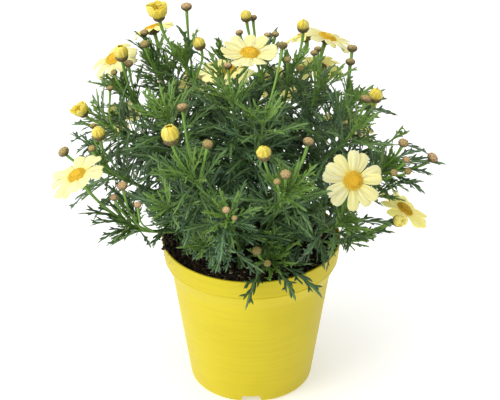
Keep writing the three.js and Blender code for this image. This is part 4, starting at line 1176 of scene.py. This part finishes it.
def wedges(margin):
    """The shapes of the drain notches, with a margin for the pad of plastic over them."""
    foot, head, top, depth = (NOTCH[key] + margin for key in ("foot", "head", "top", "depth"))
    flare = (foot - head) / top * CLEAR
    outline = [(-foot - flare, -CLEAR), (foot + flare, -CLEAR), (head, top), (-head, top)]
    points = [(x, y, z) for y in (-POT["base"] - CLEAR, depth - POT["base"]) for x, z in outline]
    faces = [(0, 1, 2), (0, 2, 3), (4, 6, 5), (4, 7, 6), (0, 4, 5), (0, 5, 1), (1, 5, 6), (1, 6, 2),
             (2, 6, 7), (2, 7, 3), (3, 7, 4), (3, 4, 0)]
    turns = [number / NOTCHES * TAU for number in range(NOTCHES)]
    return [plain_object("notch", spun(points, turn), faces) for turn in turns]


def drain_hole(number):
    """The upright hole through the pad over a drain notch."""
    turn, out, reach = number / NOTCHES * TAU, POT["base"] - HOLE["inset"], HOLE["reach"]
    centre = np.array([math.sin(turn) * out, -math.cos(turn) * out, NOTCH["top"]])
    profile = [(0, -reach), (HOLE["radius"], -reach), (HOLE["radius"], reach), (0, reach)]
    points, faces = lathe(profile, HOLE["sides"])
    return plain_object("drain_hole", points + centre, faces)


collar_foot, step_foot = POT["height"] - POT["collar"], POT["height"] - POT["step_drop"]
slope = (POT["rim"] - POT["collar_foot"]) / POT["collar"]


def side_line(inset, top):
    """The side of the pot from the step to the top."""
    return [(POT["step"] - inset, step_foot), (POT["collar_foot"] - inset, collar_foot),
            (POT["rim"] - inset + slope * (top - POT["height"]), top)]


def at_collar_foot(out, up):
    """A place out from and above the collar's lower edge."""
    return POT["collar_foot"] + out, collar_foot + up


FOOT_RING, LIP, LIP_ROUND, SIDES = 8, 3, 0.5, 160
MOULD_GROOVE, ABOVE_GROOVE = [(0, 0), (-0.38, 0.3), (-0.38, 0.7), (0.08, 0.9)], (0.1, 1.2)
step, _, rim = side_line(0, POT["height"])
groove = [at_collar_foot(*move) for move in MOULD_GROOVE]
lower = rounded([(POT["base"] - FOOT_RING, 0), (POT["base"], 0), step, *groove], POT["corner"])
collar = rounded([at_collar_foot(*ABOVE_GROOVE), rim, (POT["rim"] - LIP, POT["height"])], LIP_ROUND)
shell = plain_object("nursery_pot", *lathe([(0, 0), *lower, *collar, (0, POT["height"])], SIDES))

inner_base, over_rim = (POT["base"] - POT["wall"], POT["floor"]), POT["height"] + CLEAR
inside = [(0, POT["floor"]), inner_base, *side_line(POT["wall"], over_rim), (0, over_rim)]
hollow = plain_object("hollow", *lathe(inside, SIDES))
cut(hollow, wedges(POT["wall"]))
cut(shell, [hollow, *wedges(0), *[drain_hole(number) for number in range(NOTCHES)]])
print("pot faces:", len(shell.data.polygons))

# %% [markdown]
# The finish is polypropylene from a lightly textured mould: satin, a little see-through, so that it
# glows where light comes in. A fine wave in it keeps the shine from being glassy, faint level streaks are
# left by the turned mould, and soil has smudged it under the rim at the left.

# %% Pot finish
SMUDGE_LOW, SMUDGE_HIGH, SMUDGE_FROM, SMUDGE_TO = 92 * MM, 114 * MM, -52 * MM, -63 * MM
yellow_plastic, tree, shader, place, _ = new_material(
    "satin_polypropylene", Roughness=0.45, IOR=1.49, Specular_IOR_Level=0.22, Subsurface_Weight=0.12,
    Subsurface_Radius=(1.0, 0.8, 0.2), Subsurface_Scale=2.5 * MM)
x, _, z = add_node(tree, "ShaderNodeSeparateXYZ", {0: place}).outputs
high = add_node(tree, "ShaderNodeMapRange", {"Value": z, 1: SMUDGE_LOW, 2: SMUDGE_HIGH}).outputs[0]
left = add_node(tree, "ShaderNodeMapRange", {"Value": x, 1: SMUDGE_FROM, 2: SMUDGE_TO}).outputs[0]
near_heap = add_node(tree, "ShaderNodeMath", {0: high, 1: left}, operation="MULTIPLY").outputs[0]
specks = {0: near_heap, 1: mottled(tree, place, 2.4, -2.4, 1.3, 6)}
smudge = add_node(tree, "ShaderNodeMath", specks, operation="MULTIPLY", use_clamp=True).outputs[0]
level = {0: place, 1: (0.04, 0.04, 1)}
stretched = add_node(tree, "ShaderNodeVectorMath", level, operation="MULTIPLY").outputs[0]
streaks, clouds = mottled(tree, stretched, 1.6, -0.1, 0.17, 3), mottled(tree, place, 45)
skin = painted(tree, "#d4c222", (clouds, "#dac829"), (streaks, "#b3a21c"), (smudge, "#3a2c1c"))
finished(tree, shader, place, skin, grain=1.5, depth=0.04, detail=2)
shell.data.materials.append(yellow_plastic)
shell.data.shade_smooth()
shell.data.set_sharp_from_angle(angle=math.radians(35))
show(shell, "pot")
print("the pot's smudge lies from", SMUDGE_LOW / MM, "mm up, left of", SMUDGE_FROM / MM, "mm")

# %% [markdown]
# ## The soil
# Potting soil is crumbs of peat with fibres and pale chips of wood. The bed is one turned body whose top
# follows the soil's height with noise added, and loose crumbs and chips lie on it, each a small stone of
# twenty faces pulled out of shape. They heap up at the left and some lie over the rim. Damp peat takes
# in light: it is matt and nearly black in its hollows, brown where it is drier, and the wood is pale.


# %% Soil bed
ROUGH = [dict(height=0.9, size=3.1, layer=4.7), dict(height=0.5, size=1.3, layer=9.2)]
MOUND = dict(height=6.5, turn=math.pi + 0.18, spread=0.27, start=42, rise=16)
BED_RINGS, BED_SIDES, EVEN_EDGE, INSET = 60, 150, 2, POT["wall"] + GAP


def soil_noise(x, y):
    """The rough of the soil in millimetres, at two sizes of crumb."""
    return sum(r["height"] * noise.noise((x / r["size"], y / r["size"], r["layer"])) for r in ROUGH)


def mound(x, y):
    """The extra height of the soil that is heaped against the rim at the left, in millimetres."""
    off = (math.atan2(y, x) % TAU - MOUND["turn"]) / MOUND["spread"]
    rise = min(1, max(0, (math.hypot(x, y) - MOUND["start"]) / MOUND["rise"]))
    return MOUND["height"] * math.exp(-(off**2) / 2) * rise


edge, bed_floor = POT["collar_foot"] - INSET + slope * (SOIL["edge"] - collar_foot), POT["floor"] + GAP
rings = [(radius, SOIL["edge"]) for radius in np.linspace(edge, 0, BED_RINGS)[:-1]]
bed_side = [(POT["base"] - INSET, bed_floor), *side_line(INSET, POT["height"])[:2]]
points, faces = lathe([(0, bed_floor), *bed_side, *rings, (0, SOIL["edge"])], BED_SIDES)
for corner in points:
    x, y, z = corner
    if z > collar_foot:
        rough = soil_noise(x, y) * min(1, (edge - math.hypot(x, y)) / EVEN_EDGE)
        corner[2] = soil_height(x, y) + mound(x, y) + rough
bed = plain_object("soil_bed", points, faces)
cut(bed, wedges(INSET))

peat, tree, shader, place, _ = new_material("damp_peat", Roughness=0.9, IOR=1.4)
dark = painted(tree, "#17110d", (mottled(tree, place, 2.2, detail=8), "#3a2b20"))
finished(tree, shader, place, dark, grain=0.9, depth=0.5, detail=8)
bed.data.materials.append(peat)
bed.data.shade_smooth()
show(bed, "soil")
print("soil bed faces:", len(bed.data.polygons))

# %% Crumbs and chips
GOLD = (1 + math.sqrt(5)) / 2
STONE = unit([(-1, GOLD, 0), (1, GOLD, 0), (-1, -GOLD, 0), (1, -GOLD, 0), (0, -1, GOLD), (0, 1, GOLD),
              (0, -1, -GOLD), (0, 1, -GOLD), (GOLD, 0, -1), (GOLD, 0, 1), (-GOLD, 0, -1), (-GOLD, 0, 1)])
STONE_FACES = [(0, 11, 5), (0, 5, 1), (0, 1, 7), (0, 7, 10), (0, 10, 11), (1, 5, 9), (5, 11, 4),
               (11, 10, 2), (10, 7, 6), (7, 1, 8), (3, 9, 4), (3, 4, 2), (3, 2, 6), (3, 6, 8), (3, 8, 9),
               (4, 9, 5), (2, 4, 11), (6, 2, 10), (8, 6, 7), (9, 8, 1)]
CRUMBS = dict(count=1500, least=0.5, most=2.1, flat=0.75, is_wood=0)
CHIPS = dict(count=520, least=0.5, most=1.5, flat=0.35, is_wood=1)
STREWN_TO, SUNK = 59.5, 0.4
SPILL = dict(count=420, start=46, reach=20.6, spread=1.1, flat=0.8, inner_rim=61.5, outer_rim=65)


def crumb(x, y, z, size, flat, draw, traits):
    """A small stone pulled out of shape and turned by chance."""
    stretch = np.array([1 + 0.9 * draw(), 0.7 + 0.5 * draw(), flat])
    rough = 1 + 0.35 * np.array([draw() - 0.5 for _ in STONE])
    heading = unit((draw() - 0.5, draw() - 0.5, 0.8))
    points = spun(STONE * rough[:, None] * stretch * size, draw() * TAU)
    return body(stood(points, (x, y, z), heading), STONE_FACES, 0, traits)


def scattered(count, least, most, flat, is_wood, seed):
    """Crumbs or chips strewn over the soil."""
    draw = seeded_chance(seed)
    bodies = []
    for _ in range(count):
        radius, angle = STREWN_TO * math.sqrt(draw()), draw() * TAU
        x, y, size = radius * math.cos(angle), radius * math.sin(angle), least + (most - least) * draw() ** 2
        z = float(soil_height(x, y)) + size * flat * SUNK
        bodies.append(crumb(x, y, z, size, flat, draw, (draw(), is_wood, 0)))
    return bodies


def spilled(seed):
    """Crumbs on the heap at the left, on the rim there and a few just over it."""
    draw = seeded_chance(seed)
    bodies = []
    while len(bodies) < SPILL["count"]:
        radius = SPILL["start"] + SPILL["reach"] * draw()
        angle, size = MOUND["turn"] + (draw() - 0.5) * SPILL["spread"], 0.5 + 1.2 * draw() ** 2
        x, y = radius * math.cos(angle), radius * math.sin(angle)
        z = float(soil_height(x * 0.95, y * 0.95)) + mound(x, y)
        past_rim = radius - SPILL["inner_rim"]
        if past_rim > 0:
            if z + 1.2 < POT["height"] or draw() < past_rim / 6:
                continue
            z = POT["height"] + size * 0.5 - max(0, radius - SPILL["outer_rim"]) * 2.2 + draw()
        bodies.append(crumb(x, y, z, size, SPILL["flat"], draw, (draw(), 0, 0)))
    return bodies


crumb_peat, tree, shader, place, (tone, is_wood, _) = new_material(
    "loose_peat_and_wood", Roughness=0.85, IOR=1.4)
dark, wood = painted(tree, "#1a130e", (tone, "#4a3626")), painted(tree, "#9a8260", (tone, "#dccba6"))
finished(tree, shader, place, painted(tree, dark, (is_wood, wood)), grain=0.8, depth=0.3, detail=6)
loose = scattered(**CRUMBS, seed=SEEDS["crumb"]) + scattered(**CHIPS, seed=SEEDS["chip"])
loose += spilled(SEEDS["spill"])
add_piece("soil_crumbs", loose, [crumb_peat])
print("loose crumbs and chips:", len(loose))

# %% [markdown]
# ## Floor, light and camera
# The photograph shows the plant alone on white, lit softly from the left, the front and above. A large
# soft light stands at the left, one hangs overhead, a weak one fills from the right, and the white
# floor and sky give the rest. The camera looks down on the pot from 31 degrees with a long lens, from
# one and a half metres. The floor is matt paper that glows a little, so that it stays white.

# %% Floor and light
scene = bpy.context.scene
NEAR, FAR = -4000, 6000
corners = [(NEAR, NEAR, 0), (-NEAR, NEAR, 0), (-NEAR, FAR, 0), (NEAR, FAR, 0)]
floor = plain_object("floor", corners, [(0, 1, 2, 3)])
paper, tree, shader, place, _ = new_material(
    "white_paper", Roughness=0.9, Emission_Color=(1, 1, 1, 1), Emission_Strength=0.42)
white = painted(tree, "#e6e6e6", (mottled(tree, place, 400), "#e9e9e9"))
set_inputs(tree, shader, {"Base Color": white})
floor.data.materials.append(paper)
floor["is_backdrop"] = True

sky = bpy.data.worlds.new("white_studio")
sky.use_nodes = True
tree = sky.node_tree
heading = add_node(tree, "ShaderNodeTexCoord").outputs["Generated"]
rightward = add_node(tree, "ShaderNodeSeparateXYZ", {0: heading}).outputs[0]
strength = add_node(tree, "ShaderNodeMapRange", {"Value": rightward, 1: -1, 2: 1, 3: 1.0, 4: 0.16}).outputs[0]
set_inputs(tree, tree.nodes["Background"], {0: (1, 1, 1, 1), 1: strength})
scene.world = sky
LIT_MIDDLE = Vector((0, 0, 0.15))


def add_light(name, at, size, watts):
    """A soft square light that looks at the plant."""
    lamp = bpy.data.lights.new(name, "AREA")
    lamp.size, lamp.energy = size, watts
    made = bpy.data.objects.new(name, lamp)
    made.location = at
    made.rotation_euler = (LIT_MIDDLE - Vector(at)).to_track_quat("-Z", "Y").to_euler()
    scene.collection.objects.link(made)


add_light("soft_key", (-1.25, -0.8, 1.3), 1.3, 17)
add_light("soft_top", (0.35, 0.0, 1.7), 1.2, 10)
add_light("soft_fill", (0.9, -1.1, 0.9), 1.0, 0.6)
scene.view_settings.view_transform = "Standard"

# %% Camera
ELEVATION, DISTANCE, LOOK_HEIGHT = math.radians(31), 1.5, 0.1458
FOCAL_PIXELS, FRAME_WIDTH, SENSOR_WIDTH, FARTHEST = 2053.4, 500, 36, 20
middle = Vector((-0.0009, 0, 0.1))
lens = bpy.data.cameras.new("camera")
lens.sensor_width, lens.clip_end = SENSOR_WIDTH, FARTHEST
lens.lens = FOCAL_PIXELS / FRAME_WIDTH * SENSOR_WIDTH
camera = bpy.data.objects.new("camera", lens)
camera.location = middle + Vector((0, -math.cos(ELEVATION), math.sin(ELEVATION))) * DISTANCE
look = Vector((middle.x, 0, LOOK_HEIGHT)) - camera.location
camera.rotation_euler = look.to_track_quat("-Z", "Y").to_euler()
scene.collection.objects.link(camera)
scene.camera = camera
print("lens:", round(lens.lens, 1), "mm")

# %% [markdown]
# ## Size
# The dressed plant has to stay in the box of its frame. Both boxes, of the frame and of the dressed
# plant, are written out so that they can be compared, and the number of triangles is kept in sight.

# %% Size and finish
shown_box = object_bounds()
for whose, box in (("frame", cad_box), ("plant", shown_box)):
    print(whose, "box in mm:", [[round(v * 1000, 1) for v in end] for end in box])
print("triangles:", sum(triangle_counts.values()), "most in", max(triangle_counts, key=triangle_counts.get))
